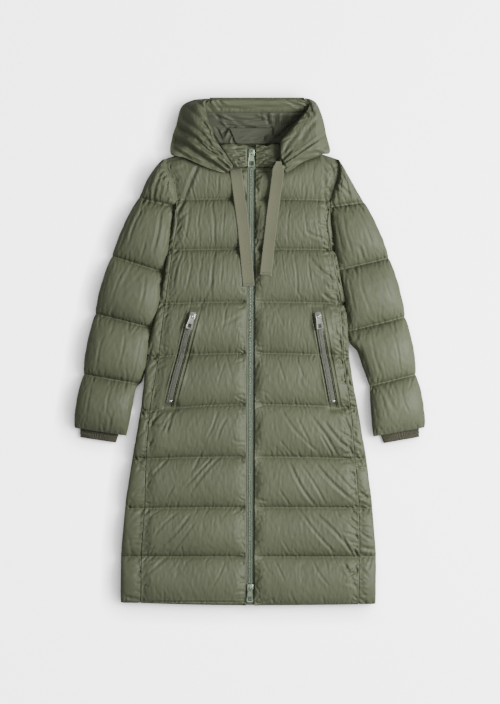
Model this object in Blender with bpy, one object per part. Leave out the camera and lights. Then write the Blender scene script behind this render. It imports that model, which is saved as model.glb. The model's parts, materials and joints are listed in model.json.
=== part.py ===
"""Long hooded puffer coat, zipped up and laid on its back. Metres, +Z up, +Y towards the hood.

The coat lies on the plane z = 0, with its origin under the middle of its outline. Right and
left are the wearer's, so the right side is at negative X. Each piece that is cut and sewn is
one object. A quilted panel is a padded wall: thin where it is stitched through, crowned between.
"""

from collections import namedtuple
from math import pi, radians, sin

import bmesh
import bpy
import numpy as np
from mathutils import Matrix, Vector

# ---- driving dimensions -------------------------------------------------------------------
SEAM_GAP = 0.0003
LAYER_GAP = 0.0004
STITCHED = 0.0140  # height of the coat's two layers where they are stitched through
STITCH_MEET = 0.0100  # height at which front and back meet there
CROWN_MEET = 0.0230  # and at the middle of a baffle
GROOVE = 0.0050  # how far a seam lifts off the ground
RIM_GAP = 0.0012  # between the hood's crown and its sides
BODY_CROWN = 0.0500
SHOULDER_TOP = 0.0300  # height of the shoulders where the hood lies on them
NECK_TOP = 0.0200
SIDE_PINCH = 0.62  # crown height left at the side seam
ZIP_EDGE = 0.0310
ZIP_HALF = 0.0095
ZIP_TOP_X = 0.0036  # the zip leans this far over its length
ZIP_Z = 0.0250
TAPE_THICK = 0.0012
CHAIN_HALF = 0.0042
CHAIN_THICK = 0.0030
SLEEVE_CROWN = 0.0540
SLEEVE_STITCHED = 0.0170
CUFF_THICK = 0.0110
STRAP_WIDTH = 0.0280
STRAP_THICK = 0.0012
POCKET_TAPE = 0.0150
POCKET_CHAIN = 0.0060
POCKET_CHAIN_THICK = 0.0020
CHAIN_IN = 0.0020  # the chain lies this far inside the pocket's line
POCKET_WELT = 0.0085
PANEL_GAP = 0.0005
END_STEP = 0.0010  # least length of a strip's last stretch
ZIP_BOTTOM_Y = -0.6040
ZIP_TOP_Y = 0.4900

# Rows within a baffle: how far up it each lies, and its share of the crown.
PUFF = ((0.0, 0.0), (0.16, 0.68), (0.5, 1.0), (0.84, 0.68))
ARM_PUFF = ((0.0, 0.0), (0.2, 0.72), (0.5, 1.0), (0.8, 0.72))

# Quilt seams from the hem up: height at the middle, and droop at the side.
Seam = namedtuple("Seam", "y droop")
SEAMS = (
    Seam(-0.6080, -0.005),
    Seam(-0.4910, 0.000),
    Seam(-0.3730, 0.002),
    Seam(-0.2515, 0.004),
    Seam(-0.1260, 0.012),
    Seam(-0.0030, 0.010),
    Seam(0.1200, 0.005),
    Seam(0.2470, 0.003),
    Seam(0.3670, 0.005),
)

# The body's outline and the side panels' front seams, from the hem up.
Edge = namedtuple("Edge", "y right right_seam left_seam left")
EDGES = (
    Edge(-0.608, -0.311, -0.262, 0.260, 0.302),
    Edge(-0.485, -0.310, -0.261, 0.263, 0.303),
    Edge(-0.360, -0.299, -0.252, 0.261, 0.293),
    Edge(-0.250, -0.282, -0.249, 0.251, 0.279),
    Edge(-0.135, -0.262, -0.240, 0.241, 0.259),
    Edge(-0.010, -0.249, -0.219, 0.224, 0.238),
    Edge(0.060, -0.235, -0.211, 0.221, 0.236),
    Edge(0.130, -0.217, -0.202, 0.216, 0.229),
    Edge(0.245, -0.198, -0.186, 0.193, 0.205),
    Edge(0.308, -0.186, -0.174, 0.183, 0.1940),
    Edge(0.348, -0.1795, -0.178, 0.1905, 0.192),
    Edge(0.378, -0.1785, -0.177, 0.1980, 0.1995),
    Edge(0.414, -0.1845, -0.183, 0.2105, 0.212),
    Edge(0.442, -0.1995, -0.198, 0.2155, 0.217),
    Edge(0.468, -0.2040, -0.2025, 0.2080, 0.2095),
)

# The hood's lower edge across the chest, and the shoulder seam beneath it.
Line = namedtuple("Line", "x y")
HOOD_LINE = tuple(
    Line(x / 1000, y / 1000)
    for x, y in (
        (-205, 450), (-159, 459), (-124, 447), (-91, 436), (-53, 426),
        (0, 428), (83, 427), (132, 453), (170, 463), (210, 450),
    )
)  # fmt: skip
SHOULDER_LINE = tuple(
    Line(x / 1000, y / 1000)
    for x, y in ((-205, 466), (-107, 484), (-58, 441), (62, 441), (114, 484), (210, 466))
)
NECK_LINE = tuple(
    Line(x / 1000, y / 1000)
    for x, y in ((-205, 471), (-107, 494), (-58, 496), (62, 496), (114, 494), (210, 471))
)

# Sleeve seams from the armpit to the cuff: outer and inner end of each.
Arm = namedtuple("Arm", "outer_x outer_y inner_x inner_y")
SLEEVES = {
    "right": (
        Arm(-0.2660, 0.3700, -0.1815, 0.3480),
        Arm(-0.3300, 0.2300, -0.2080, 0.1900),
        Arm(-0.3700, 0.0920, -0.2345, 0.0570),
        Arm(-0.3980, -0.0540, -0.2710, -0.0770),
        Arm(-0.4200, -0.1830, -0.2950, -0.2020),
    ),
    "left": (
        Arm(0.2730, 0.3600, 0.1940, 0.3480),
        Arm(0.3320, 0.2260, 0.2190, 0.1970),
        Arm(0.3710, 0.0840, 0.2410, 0.0500),
        Arm(0.3970, -0.0540, 0.2850, -0.0820),
        Arm(0.4185, -0.1820, 0.2940, -0.2040),
    ),
}
SHOULDER_TIPS = {"right": (-0.2085, 0.4660), "left": (0.2150, 0.4650)}
OUTER_BULGE = 0.0080  # how far a sleeve's baffle stands out at its edges
INNER_BULGE = 0.0030

# A hood side from the drawstring round to the crown: outline, rim, and the heights of its underside,
# its middle and its rim.
Hood = namedtuple("Hood", "out_x out_y rim_x rim_y base crown rim")
HOODS = {
    "right": (
        Hood(-0.0560, 0.4260, -0.0390, 0.4430, 0.0380, 0.0620, 0.0600),
        Hood(-0.0910, 0.4350, -0.0560, 0.4720, 0.0355, 0.0720, 0.0640),
        Hood(-0.1240, 0.4480, -0.0720, 0.4940, 0.0350, 0.0760, 0.0660),
        Hood(-0.1590, 0.4640, -0.0810, 0.5060, 0.0340, 0.0760, 0.0660),
        Hood(-0.1910, 0.4720, -0.0850, 0.5190, 0.0320, 0.0720, 0.0660),
        Hood(-0.1890, 0.5120, -0.0880, 0.5340, 0.0000, 0.0700, 0.0640),
        Hood(-0.1780, 0.5450, -0.0960, 0.5500, 0.0000, 0.0680, 0.0600),
        Hood(-0.1660, 0.5880, -0.1030, 0.5760, 0.0000, 0.0620, 0.0560),
        Hood(-0.1400, 0.6040, -0.1040, 0.5900, 0.0000, 0.0560, 0.0540),
        Hood(-0.1120, 0.6078, -0.1040, 0.6020, 0.0000, 0.0530, 0.0520),
    ),
    "left": (
        Hood(0.0860, 0.4260, 0.0730, 0.4430, 0.0388, 0.0620, 0.0600),
        Hood(0.1080, 0.4400, 0.0700, 0.4640, 0.0355, 0.0700, 0.0640),
        Hood(0.1320, 0.4550, 0.0690, 0.4860, 0.0350, 0.0740, 0.0660),
        Hood(0.1700, 0.4700, 0.0720, 0.5060, 0.0340, 0.0760, 0.0680),
        Hood(0.1930, 0.4760, 0.0840, 0.5200, 0.0320, 0.0740, 0.0680),
        Hood(0.1840, 0.5200, 0.0990, 0.5400, 0.0000, 0.0700, 0.0660),
        Hood(0.1760, 0.5570, 0.1190, 0.5620, 0.0000, 0.0660, 0.0620),
        Hood(0.1620, 0.5920, 0.1390, 0.5840, 0.0000, 0.0600, 0.0580),
        Hood(0.1490, 0.6040, 0.1390, 0.5960, 0.0000, 0.0560, 0.0540),
    ),
}

# The hood's crown under the opening, from the neck up: heights of its underside and its floor.
Floor = namedtuple("Floor", "y under top")
HOOD_FLOOR = (
    Floor(0.4964, 0.0000, 0.0120),
    Floor(0.5190, 0.0000, 0.0120),
    Floor(0.5400, 0.0000, 0.0130),
    Floor(0.5620, 0.0000, 0.0200),
    Floor(0.5740, 0.0000, 0.0290),
    Floor(0.5900, 0.0000, 0.0430),
    Floor(0.6010, 0.0040, 0.0500),
    Floor(0.6079, 0.0160, 0.0440),
)

# The collar's reach from the zip on each side, and its share of the crown.
Stand = namedtuple("Stand", "y right left puff")
COLLAR = (
    Stand(0.4440, 0.0365, 0.0600, 0.55),
    Stand(0.4560, 0.0440, 0.0675, 1.0),
    Stand(0.4700, 0.0530, 0.0680, 0.8),
    Stand(0.4840, 0.0620, 0.0670, 1.0),
    Stand(0.4960, 0.0700, 0.0670, 0.6),
)

# Drawstrings, from their exits down: the middle of the strap.
Strap = namedtuple("Strap", "x y")
STRAPS = {
    "right": (Strap(-0.0345, 0.4380), Strap(-0.0330, 0.4250), Strap(-0.0160, 0.3000), Strap(-0.0027, 0.1572)),
    "left": (Strap(0.0672, 0.4300), Strap(0.0666, 0.4250), Strap(0.0530, 0.3250), Strap(0.0370, 0.1830)),
}
STRAP_STEP = 0.0120
STRAP_GAP = 0.0007
STRAP_SPARE = 0.0030  # how much wider than the strap the cloth under it is felt for
STRAP_SAG = 0.0004  # how far a strap sags between two of its points
STRAP_PASSES = 40

# Pocket zips: top and bottom of the line between tape and welt.
Pocket = namedtuple("Pocket", "top_x top_y bottom_x bottom_y")
POCKETS = {
    "right": Pocket(-0.1302, 0.0950, -0.1860, -0.1210),
    "left": Pocket(0.1661, 0.0950, 0.2059, -0.1210),
}

Finish = namedtuple("Finish", "colour roughness metallic")
SHELL = Finish((0.17, 0.20, 0.13), 0.45, 0.0)
LINING = Finish((0.09, 0.10, 0.07), 0.5, 0.0)
RIB = Finish((0.10, 0.08, 0.04), 0.95, 0.0)
ZIP_CLOTH = Finish((0.12, 0.16, 0.13), 0.8, 0.0)
TWILL = Finish((0.24, 0.24, 0.16), 0.85, 0.0)
TINTED_METAL = Finish((0.20, 0.24, 0.18), 0.4, 0.8)
SILVER = Finish((0.6, 0.6, 0.58), 0.25, 1.0)


# ---- making solids ------------------------------------------------------------------------
def material(name, finish):
    made = bpy.data.materials.new(name)
    made.use_nodes = True
    shader = made.node_tree.nodes["Principled BSDF"]
    shader.inputs["Base Color"].default_value = (*finish.colour, 1)
    shader.inputs["Roughness"].default_value = finish.roughness
    shader.inputs["Metallic"].default_value = finish.metallic
    return made


def new_object(name, points, faces, finish):
    """A closed mesh object whose faces point outwards."""
    mesh = bpy.data.meshes.new(name)
    mesh.from_pydata([tuple(point) for point in points], [], faces)
    work = bmesh.new()
    work.from_mesh(mesh)
    bmesh.ops.recalc_face_normals(work, faces=work.faces)
    work.to_mesh(mesh)
    work.free()
    mesh.materials.append(material(name, finish))
    made = bpy.data.objects.new(name, mesh)
    bpy.context.collection.objects.link(made)
    return made


def slab(name, top, bottom, finish):
    """A panel between two grids of points. Both grids split their cells the same way."""
    rows, columns = top.shape[:2]
    count = rows * columns
    faces = []

    def at(row, column, below):
        return below * count + row * columns + column

    for row in range(rows - 1):
        for column in range(columns - 1):
            for below in (0, 1):
                a, b = at(row, column, below), at(row, column + 1, below)
                c, d = at(row + 1, column + 1, below), at(row + 1, column, below)
                faces += [(a, b, c), (a, c, d)] if not below else [(a, c, b), (a, d, c)]
    border = [(0, column) for column in range(columns)]
    border += [(row, columns - 1) for row in range(1, rows)]
    border += [(rows - 1, column) for column in range(columns - 2, -1, -1)]
    border += [(row, 0) for row in range(rows - 2, 0, -1)]
    for start, end in zip(border, border[1:] + border[:1]):
        faces.append((at(*end, 0), at(*start, 0), at(*start, 1), at(*end, 1)))
    points = np.concatenate([top.reshape(-1, 3), bottom.reshape(-1, 3)])
    return new_object(name, points, faces, finish)


def ring_faces(rows, count, start=0):
    """Faces along a row of closed loops of points."""
    found = []
    for row in range(rows - 1):
        for i in range(count):
            a, b = start + row * count + i, start + row * count + (i + 1) % count
            found.append((a, b, b + count, a + count))
    return found


def loft(name, loops, finish):
    """A solid through closed loops of points, capped at both ends."""
    rows, count = loops.shape[:2]
    faces = ring_faces(rows, count)
    faces.append(tuple(range(count))[::-1])
    faces.append(tuple(range((rows - 1) * count, rows * count)))
    return new_object(name, loops.reshape(-1, 3), faces, finish)


def tube(name, outer, inner, finish):
    """A wall between two sets of loops, open at both ends."""
    rows, count = outer.shape[:2]
    total = rows * count
    faces = ring_faces(rows, count)
    faces += [face[::-1] for face in ring_faces(rows, count, total)]
    for row in (0, rows - 1):
        for i in range(count):
            a, b = row * count + i, row * count + (i + 1) % count
            faces.append((b, a, a + total, b + total) if row == 0 else (a, b, b + total, a + total))
    points = np.concatenate([outer.reshape(-1, 3), inner.reshape(-1, 3)])
    return new_object(name, points, faces, finish)


# ---- the body's rows and heights ----------------------------------------------------------
Row = namedtuple("Row", "y droop puff line")


def body_rows():
    """Every row across the body, from the hem up. The last ones follow the hood and the neck."""
    rows = []
    for low, high in zip(SEAMS, SEAMS[1:]):
        for along, puff in PUFF:
            y = low.y + along * (high.y - low.y)
            rows.append(Row(y, low.droop + along * (high.droop - low.droop), puff, None))
    last = SEAMS[-1]
    rows.append(Row(last.y, last.droop, 0.0, None))
    rows.append(Row(0.20, 0.0, 0.70, HOOD_LINE))
    rows.append(Row(0.55, 0.0, 1.00, HOOD_LINE))
    rows.append(Row(1.0, 0.0, 0.45, HOOD_LINE))
    rows.append(Row(1.0, 0.0, 0.20, SHOULDER_LINE))
    return rows


def along_line(line, x):
    return float(np.interp(x, [point.x for point in line], [point.y for point in line]))


def edge_at(y, field):
    return float(np.interp(y, [edge.y for edge in EDGES], [getattr(edge, field) for edge in EDGES]))


def row_y(row, x):
    """Where a row lies at x: seams droop to the sides, and the top rows blend into the hood's line."""
    if row.line is None:
        return row.y - row.droop * min(1.0, (x / 0.26) ** 2)
    top = along_line(row.line, x)
    if row.line is SHOULDER_LINE:
        return top
    seam = SEAMS[-1].y - SEAMS[-1].droop * min(1.0, (x / 0.26) ** 2)
    return seam + row.y * (top + 0.006 - seam)


def side_y(row, sign):
    """The height at which a row meets the body's side."""
    y = row_y(row, sign * 0.2)
    for _ in range(6):
        y = row_y(row, edge_at(y, "right_seam" if sign < 0 else "left_seam"))
    return y


def zip_x(y):
    return ZIP_TOP_X * (y - ZIP_BOTTOM_Y) / (ZIP_TOP_Y - ZIP_BOTTOM_Y)


def meet_z(row):
    if row.line is SHOULDER_LINE:
        return NECK_TOP
    return STITCH_MEET + (CROWN_MEET - STITCH_MEET) * min(1.0, row.puff * 1.15)


def crown_z(row):
    if row.line is SHOULDER_LINE:
        return SHOULDER_TOP - 0.004
    if row.line is HOOD_LINE and row.y == 1.0:
        return SHOULDER_TOP
    return STITCHED + (BODY_CROWN - STITCHED) * row.puff


# Columns of a front panel from its side seam to its zip edge: share of the width, share of the crown.
COLUMNS = ((0.0, SIDE_PINCH), (0.10, 1.0), (0.5, 1.0), (0.76, 0.97), (0.93, 0.85), (1.0, 0.0))


def front_x(row, sign, share):
    """A front's point across a row, from its side seam at share 0 to its zip edge at 1."""
    y = side_y(row, sign)
    outer = edge_at(y, "right_seam" if sign < 0 else "left_seam") - sign * SEAM_GAP / 2
    inner = zip_x(row_y(row, 0)) + sign * (ZIP_HALF + SEAM_GAP)
    return outer + share * (inner - outer)


def front_top(row, share, crown):
    """Height of a front: pinched at the side, and level with the zip at its edge."""
    height = STITCHED + (crown_z(row) - STITCHED) * crown
    if share == 1.0:
        return ZIP_EDGE if row.line is not SHOULDER_LINE else SHOULDER_TOP - 0.004
    if share > 0.9:
        return max(height, 0.6 * ZIP_EDGE + 0.4 * height)
    return height


def front_grids(rows, sign):
    """The top and bottom of a front, columns running to +X."""
    order = COLUMNS if sign < 0 else COLUMNS[::-1]
    top = np.zeros((len(rows), len(order), 3))
    bottom = np.zeros_like(top)
    for i, row in enumerate(rows):
        for j, (share, crown) in enumerate(order):
            x = front_x(row, sign, share)
            y = row_y(row, x)
            top[i, j] = x, y, front_top(row, share, crown)
            bottom[i, j] = x, y, meet_z(row) + LAYER_GAP / 2
    return top, bottom


def back_grids(rows):
    """The back's top and bottom on the fronts' own columns, and its neck above them."""
    places = [(-1, share) for share, _ in COLUMNS] + [(1, share) for share, _ in COLUMNS[::-1]]
    top = np.zeros((len(rows) + 1, len(places), 3))
    bottom = np.zeros_like(top)
    for i, row in enumerate(rows):
        for j, (sign, share) in enumerate(places):
            x = front_x(row, sign, share)
            y = row_y(row, x)
            top[i, j] = x, y, meet_z(row) - LAYER_GAP / 2
            bottom[i, j] = x, y, GROOVE if row.puff == 0.0 else 0.0
    for j in range(len(places)):
        x = top[-2, j, 0]
        top[-1, j] = x, along_line(NECK_LINE, x), NECK_TOP - 0.002
        bottom[-1, j] = x, along_line(NECK_LINE, x), 0.003
    return top, bottom


SIDE_CROWN = 0.85  # a side panel's share of the body's crown
NARROW = 0.004  # a side panel narrower than this isn't puffed


def side_loops(rows, sign):
    """A side panel's C-shaped loops, one for each row, with the slit that it folds about."""
    loops = []
    for row in rows:
        y = side_y(row, sign)
        seam = edge_at(y, "right_seam" if sign < 0 else "left_seam") + sign * SEAM_GAP / 2
        edge = edge_at(y, "right" if sign < 0 else "left")
        width = abs(edge - seam)
        top = front_top(row, 0.0, SIDE_PINCH)
        high = STITCHED + (crown_z(row) - STITCHED) * SIDE_CROWN if row.puff else STITCHED
        low = GROOVE if row.puff == 0.0 else 0.0
        meet = meet_z(row)
        shape = (
            (0.0, top),
            (0.35, high if width > NARROW else top),
            (0.80, meet + 0.72 * (high - meet)),
            (1.0, meet),
            (0.88, low + 0.35 * (meet - low)),
            (0.45, low),
            (0.0, low),
            (0.0, meet - LAYER_GAP / 2),
            (0.6, meet),
            (0.0, meet + LAYER_GAP / 2),
        )
        for share, z in shape:
            loops.append((seam + sign * width * share, y, z))
    return np.array(loops).reshape(len(rows), -1, 3)


# ---- points on the fronts -----------------------------------------------------------------
def height_at(grids, x, y):
    """The height of the faceted fronts at a point, or None beside them."""
    for grid in grids:
        for row in range(grid.shape[0] - 1):
            for column in range(grid.shape[1] - 1):
                a, b = grid[row, column], grid[row, column + 1]
                c, d = grid[row + 1, column + 1], grid[row + 1, column]
                for corners in ((a, b, c), (a, c, d)):
                    z = height_in(corners, x, y)
                    if z is not None:
                        return z
    return None


def height_in(corners, x, y):
    (ax, ay, az), (bx, by, bz), (cx, cy, cz) = corners
    area = (bx - ax) * (cy - ay) - (cx - ax) * (by - ay)
    if abs(area) < 1e-12:
        return None
    s = ((x - ax) * (cy - ay) - (cx - ax) * (y - ay)) / area
    t = ((bx - ax) * (y - ay) - (x - ax) * (by - ay)) / area
    if s < -1e-6 or t < -1e-6 or s + t > 1 + 1e-6:
        return None
    return az + s * (bz - az) + t * (cz - az)


def strip_on_fronts(name, grids, rows, line, offsets, thick, lift, finish):
    """A strip that lies on a front. It has a section wherever it crosses one of the front's rows."""
    (x0, y0), (x1, y1) = line

    def x_at(y, offset):
        return x0 + (x1 - x0) * (y - y0) / (y1 - y0) + offset

    def crossing(row, offset):
        y = row_y(row, x_at(row.y if row.line is None else y0, offset))
        for _ in range(5):
            y = row_y(row, x_at(y, offset))
        return y

    middle = sum(offsets) / 2
    below = [row for row in rows if row.line is None]
    inside = [row for row in below if y1 + END_STEP < crossing(row, middle) < y0 - END_STEP]
    stations = [lambda offset: y1] + [lambda offset, row=row: crossing(row, offset) for row in inside]
    stations.append(lambda offset: y0)
    top = np.zeros((len(stations), 2, 3))
    bottom = np.zeros_like(top)
    for i, station in enumerate(stations):
        for j, offset in enumerate(sorted(offsets)):
            y = station(offset)
            x = x_at(y, offset)
            z = height_at(grids, x, y) + lift
            bottom[i, j] = x, y, z
            top[i, j] = x, y, z + thick
    return slab(name, top, bottom, finish)


# ---- hard pieces --------------------------------------------------------------------------
def box(name, size, centre):
    points = [
        tuple(centre[i] + size[i] / 2 * corner[i] for i in range(3))
        for corner in [(x, y, z) for z in (-1, 1) for x, y in ((-1, -1), (1, -1), (1, 1), (-1, 1))]
    ]
    faces = [(0, 1, 2, 3), (4, 5, 6, 7), (0, 1, 5, 4), (1, 2, 6, 5), (2, 3, 7, 6), (3, 0, 4, 7)]
    return new_object(name, points, faces, SILVER)


def cut(target, cutter, operation="DIFFERENCE"):
    """Keeps the cutter as a hidden guide and adds the Boolean."""
    cutter.hide_render = True
    cutter.display_type = "WIRE"
    cutter.parent = target
    modifier = target.modifiers.new(cutter.name, "BOOLEAN")
    modifier.operation = operation
    modifier.object = cutter


def plate(name, outline, thick, finish):
    """An outline in X and Y, given its thickness about z = 0."""
    count = len(outline)
    points = [(x, y, z) for z in (-thick / 2, thick / 2) for x, y in outline]
    faces = [tuple(range(count)), tuple(range(count, 2 * count))]
    faces += [(i, (i + 1) % count, count + (i + 1) % count, count + i) for i in range(count)]
    return new_object(name, points, faces, finish)


Slider = namedtuple("Slider", "width length height bail_half bail_width pull_length pull_top pull_bottom")
MAIN_SLIDER = Slider(0.0160, 0.0220, 0.0050, 0.0048, 0.0024, 0.0330, 0.0110, 0.0180)
HEM_SLIDER = Slider(0.0160, 0.0200, 0.0050, 0.0048, 0.0024, 0.0330, 0.0110, 0.0160)
POCKET_SLIDER = Slider(0.0150, 0.0230, 0.0045, 0.0048, 0.0024, 0.0320, 0.0110, 0.0165)
PULL_THICK = 0.0018
EYE = 0.0018  # width of the bar that turns in the bail
EYE_RISE = 0.0020  # height of that bar's middle over the slider
BRIDGE_RISE = 0.0016  # clear height from that middle to the bail's bridge
BRIDGE_THICK = 0.0014
POST = 0.0016  # thickness of the bail's two posts
ROOTED = 0.0010  # how far the posts reach into the slider
EYE_SLOT = 0.0050
EYE_PAST_BAIL = 0.0032
WINDOW = (0.60, 0.32)  # shares of the pull's width and length
WINDOW_RIM = 0.0032
SLIDER_TILT = 4  # degrees that a pull lies turned up at rest
POCKET_TILT = 3
THROUGH = 0.0100  # depth of a cutter that goes right through a pull


def slider_and_pull(name_slider, name_pull, kind, place, finish, tilt):
    """A slider with its bail, and a pull tab whose eye bar turns in it about the local X axis.

    place takes the slider's own frame, with its base at z = 0 and its pull towards -Y, to the coat.
    """
    body = plate(name_slider, slider_outline(kind), kind.height, finish)
    body.data.transform(Matrix.Translation((0, 0, kind.height / 2)))
    axis = kind.height + EYE_RISE
    bridge_low = axis + BRIDGE_RISE
    bridge = (kind.bail_width, 2 * kind.bail_half, BRIDGE_THICK)
    cut(body, box(f"{name_slider}.bridge", bridge, (0, 0, bridge_low + BRIDGE_THICK / 2)), "UNION")
    foot = kind.height - ROOTED
    post = (kind.bail_width, POST, bridge_low + BRIDGE_THICK / 2 - foot)
    for side in (1, -1):
        centre = (0, side * (kind.bail_half - POST / 2), foot + post[2] / 2)
        cut(body, box(f"{name_slider}.post{side}", post, centre), "UNION")
    pull = plate(name_pull, pull_outline(kind), PULL_THICK, finish)
    slot = (EYE_SLOT, kind.bail_half + EYE_PAST_BAIL - EYE / 2, THROUGH)
    cut(pull, box(f"{name_pull}.eye", slot, (0, -EYE / 2 - slot[1] / 2, 0)))
    window = (kind.pull_bottom * WINDOW[0], kind.pull_length * WINDOW[1], THROUGH)
    cut(pull, box(f"{name_pull}.window", window, (0, -kind.pull_length + WINDOW_RIM + window[1] / 2, 0)))
    body.matrix_world = place
    hinge = bpy.data.objects.new(f"{name_pull}.hinge", None)
    bpy.context.collection.objects.link(hinge)
    hinge.matrix_world = place @ Matrix.Translation((0, 0, axis))
    pull.parent = hinge
    pull.matrix_local = Matrix.Rotation(radians(tilt), 4, "X")
    return hinge


def slider_outline(kind):
    """Two shoulders at the top that narrow to the tail."""
    half, end = kind.width / 2, kind.length / 2
    shares = ((0.55, -1.0), (0.8, -0.7), (1.0, 0.2), (0.9, 0.8), (0.5, 1.0))
    right = [(half * x, end * y) for x, y in shares]
    return right + [(-x, y) for x, y in right[::-1]]


def pull_outline(kind):
    top, low, end = kind.pull_top / 2, kind.pull_bottom / 2, -kind.pull_length
    right = [(low - 0.003, end), (low - 0.0008, end + 0.0008), (low, end + 0.003)]
    right += [(top, 0.0), (top - 0.001, EYE / 2)]
    return right + [(-x, y) for x, y in right[::-1]]


# ---- the coat's pieces --------------------------------------------------------------------
def make_body(rows):
    """Fronts, side panels and back. Returns the tops of the fronts."""
    tops = []
    for name, sign in (("front_right", -1), ("front_left", 1)):
        top, bottom = front_grids(rows, sign)
        slab(name, top, bottom, SHELL)
        tops.append(top)
    slab("back", *back_grids(rows), SHELL)
    armhole = [i for i, row in enumerate(rows) if side_y(row, 1) < 0.352][-1]
    for name, sign in (("side_right", -1), ("side_left", 1)):
        loft(name, side_loops(rows[: armhole + 1], sign), SHELL)
    return tops


HEAD_START = 0.35  # where the sleeve's head starts, in rows past its tip


def sleeve_stations(rows, side):
    """Outer and inner end of each row round a sleeve, with its share of the crown."""
    sign = -1 if side == "right" else 1
    arms = SLEEVES[side]
    head = [row for row in rows if side_y(row, sign) > arms[0].inner_y + 0.004][::-1]
    found = []
    tip = np.array(SHOULDER_TIPS[side])
    elbow = np.array((arms[0].outer_x, arms[0].outer_y))
    for i, row in enumerate(head):
        y = side_y(row, sign)
        x = edge_at(y, "right_seam" if sign < 0 else "left_seam") + sign * 0.0006
        along = (i + HEAD_START) / (len(head) + HEAD_START)
        swell = sin(pi * along)
        outer = tip + along * (elbow - tip) + np.array((sign * 0.006, 0.004)) * swell
        found.append((outer, np.array((x, y)), 0.35 + 0.65 * swell if i else 0.3))
    for upper, lower in zip(arms, arms[1:]):
        for along, puff in ARM_PUFF:
            outer = blend((upper.outer_x, upper.outer_y), (lower.outer_x, lower.outer_y), along)
            inner = blend((upper.inner_x, upper.inner_y), (lower.inner_x, lower.inner_y), along)
            outer[0] += sign * OUTER_BULGE * puff
            inner[0] += sign * INNER_BULGE * (1 - puff)
            found.append((outer, inner, puff))
    last = arms[-1]
    found.append((np.array((last.outer_x, last.outer_y)), np.array((last.inner_x, last.inner_y)), 0.12))
    return found


def blend(start, end, along):
    return np.array(start) * (1 - along) + np.array(end) * along


# Round a flattened sleeve: share of the width, share of the height, over or under.
SLEEVE_ROUND = (
    (0.0, 0.45, 1), (0.08, 0.80, 1), (0.30, 1.0, 1), (0.70, 1.0, 1), (0.92, 0.80, 1),
    (1.0, 0.45, 1), (0.92, 0.10, 0), (0.70, 0.0, 0), (0.30, 0.0, 0), (0.08, 0.10, 0),
)  # fmt: skip


MEET_SHARE = 0.45  # height at which a flattened tube's two walls meet
SLEEVE_GROOVE = GROOVE * 0.8
SLEEVE_WALL = 0.14  # share of the width taken by the padding at each side
CUFF_WALL = 0.06
# Down a cuff: how far out of the sleeve, and how far in from its edges.
CUFF_ROWS = ((0.0004, 0.012), (0.0100, 0.013), (0.0200, 0.015))
CUFF_SHIFT = 0.010  # how much further in it stands at the inner edge


def make_sleeve(side, rows):
    outer_loops, inner_loops = [], []
    for outer, inner, puff in sleeve_stations(rows, side):
        height = SLEEVE_STITCHED + (SLEEVE_CROWN - SLEEVE_STITCHED) * puff
        low = SLEEVE_GROOVE if puff == 0.0 else 0.0
        meet = low + MEET_SHARE * (height - low)
        for share, up, over in SLEEVE_ROUND:
            x, y = blend(outer, inner, share)
            outer_loops.append((x, y, low + up * (height - low) if up else low))
            x, y = blend(outer, inner, SLEEVE_WALL + (1 - 2 * SLEEVE_WALL) * share)
            spread = 0.0 if share in (0.0, 1.0) else SEAM_GAP
            inner_loops.append((x, y, meet + (spread if over else -spread)))
    shape = (-1, len(SLEEVE_ROUND), 3)
    tube(f"sleeve_{side}", np.array(outer_loops).reshape(shape), np.array(inner_loops).reshape(shape), SHELL)


def make_cuff(side):
    """A rib-knit tube, flattened, that stands out of the sleeve's end."""
    last = SLEEVES[side][-1]
    outer_end = np.array((last.outer_x, last.outer_y))
    inner_end = np.array((last.inner_x, last.inner_y))
    across = (inner_end - outer_end) / np.linalg.norm(inner_end - outer_end)
    down = np.array((across[1], -across[0])) * (1 if across[0] > 0 else -1)
    outer_loops, inner_loops = [], []
    for step, inset in CUFF_ROWS:
        start = outer_end + across * inset + down * step
        end = inner_end - across * (inset + CUFF_SHIFT) + down * step
        for share, up, over in SLEEVE_ROUND:
            x, y = blend(start, end, share)
            outer_loops.append((x, y, up * CUFF_THICK))
            x, y = blend(start, end, CUFF_WALL + (1 - 2 * CUFF_WALL) * share)
            spread = 0.0 if share in (0.0, 1.0) else SEAM_GAP
            inner_loops.append((x, y, MEET_SHARE * CUFF_THICK + (spread if over else -spread)))
    shape = (-1, len(SLEEVE_ROUND), 3)
    tube(f"cuff_{side}", np.array(outer_loops).reshape(shape), np.array(inner_loops).reshape(shape), RIB)


# Round a hood side's section: share from outline to rim, and share of the height at each.
HOOD_ROUND = ((0.0, 0.45), (0.10, 0.82), (0.38, 1.0), (0.72, 1.0), (0.92, 1.0), (1.0, 0.80))


def make_hood_side(side):
    """A padded side turned down on the shoulder, from the drawstring round to the crown."""
    loops = []
    for row in HOODS[side]:
        out = np.array((row.out_x, row.out_y))
        rim = np.array((row.rim_x, row.rim_y))
        loop = []
        for share, up in HOOD_ROUND:
            top = row.crown + (row.rim - row.crown) * max(0.0, (share - 0.5) / 0.5)
            loop.append((*blend(out, rim, share), row.base + up * (top - row.base)))
        loop.append((*blend(out, rim, 0.995), row.base))
        loop.append((*blend(out, rim, 0.50), row.base))
        loop.append((*blend(out, rim, 0.08), row.base))
        loops.append(loop)
    loft(f"hood_{side}", np.array(loops), SHELL)


FLOOR_SHARES = (0.0, 0.25, 0.5, 0.75, 1.0)


def floor_point(y, share, lift):
    """A point over the hood's crown, lifted straight up. It ends just short of the hood sides' rims."""
    ends = []
    for side, sign in (("right", 1), ("left", -1)):
        rims = [(row.rim_y, row.rim_x) for row in HOODS[side]]
        ends.append(float(np.interp(y, *zip(*rims))) + sign * RIM_GAP)
    top = float(np.interp(y, [row.y for row in HOOD_FLOOR], [row.top for row in HOOD_FLOOR]))
    return ends[0] + share * (ends[1] - ends[0]), y, top + lift


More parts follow.
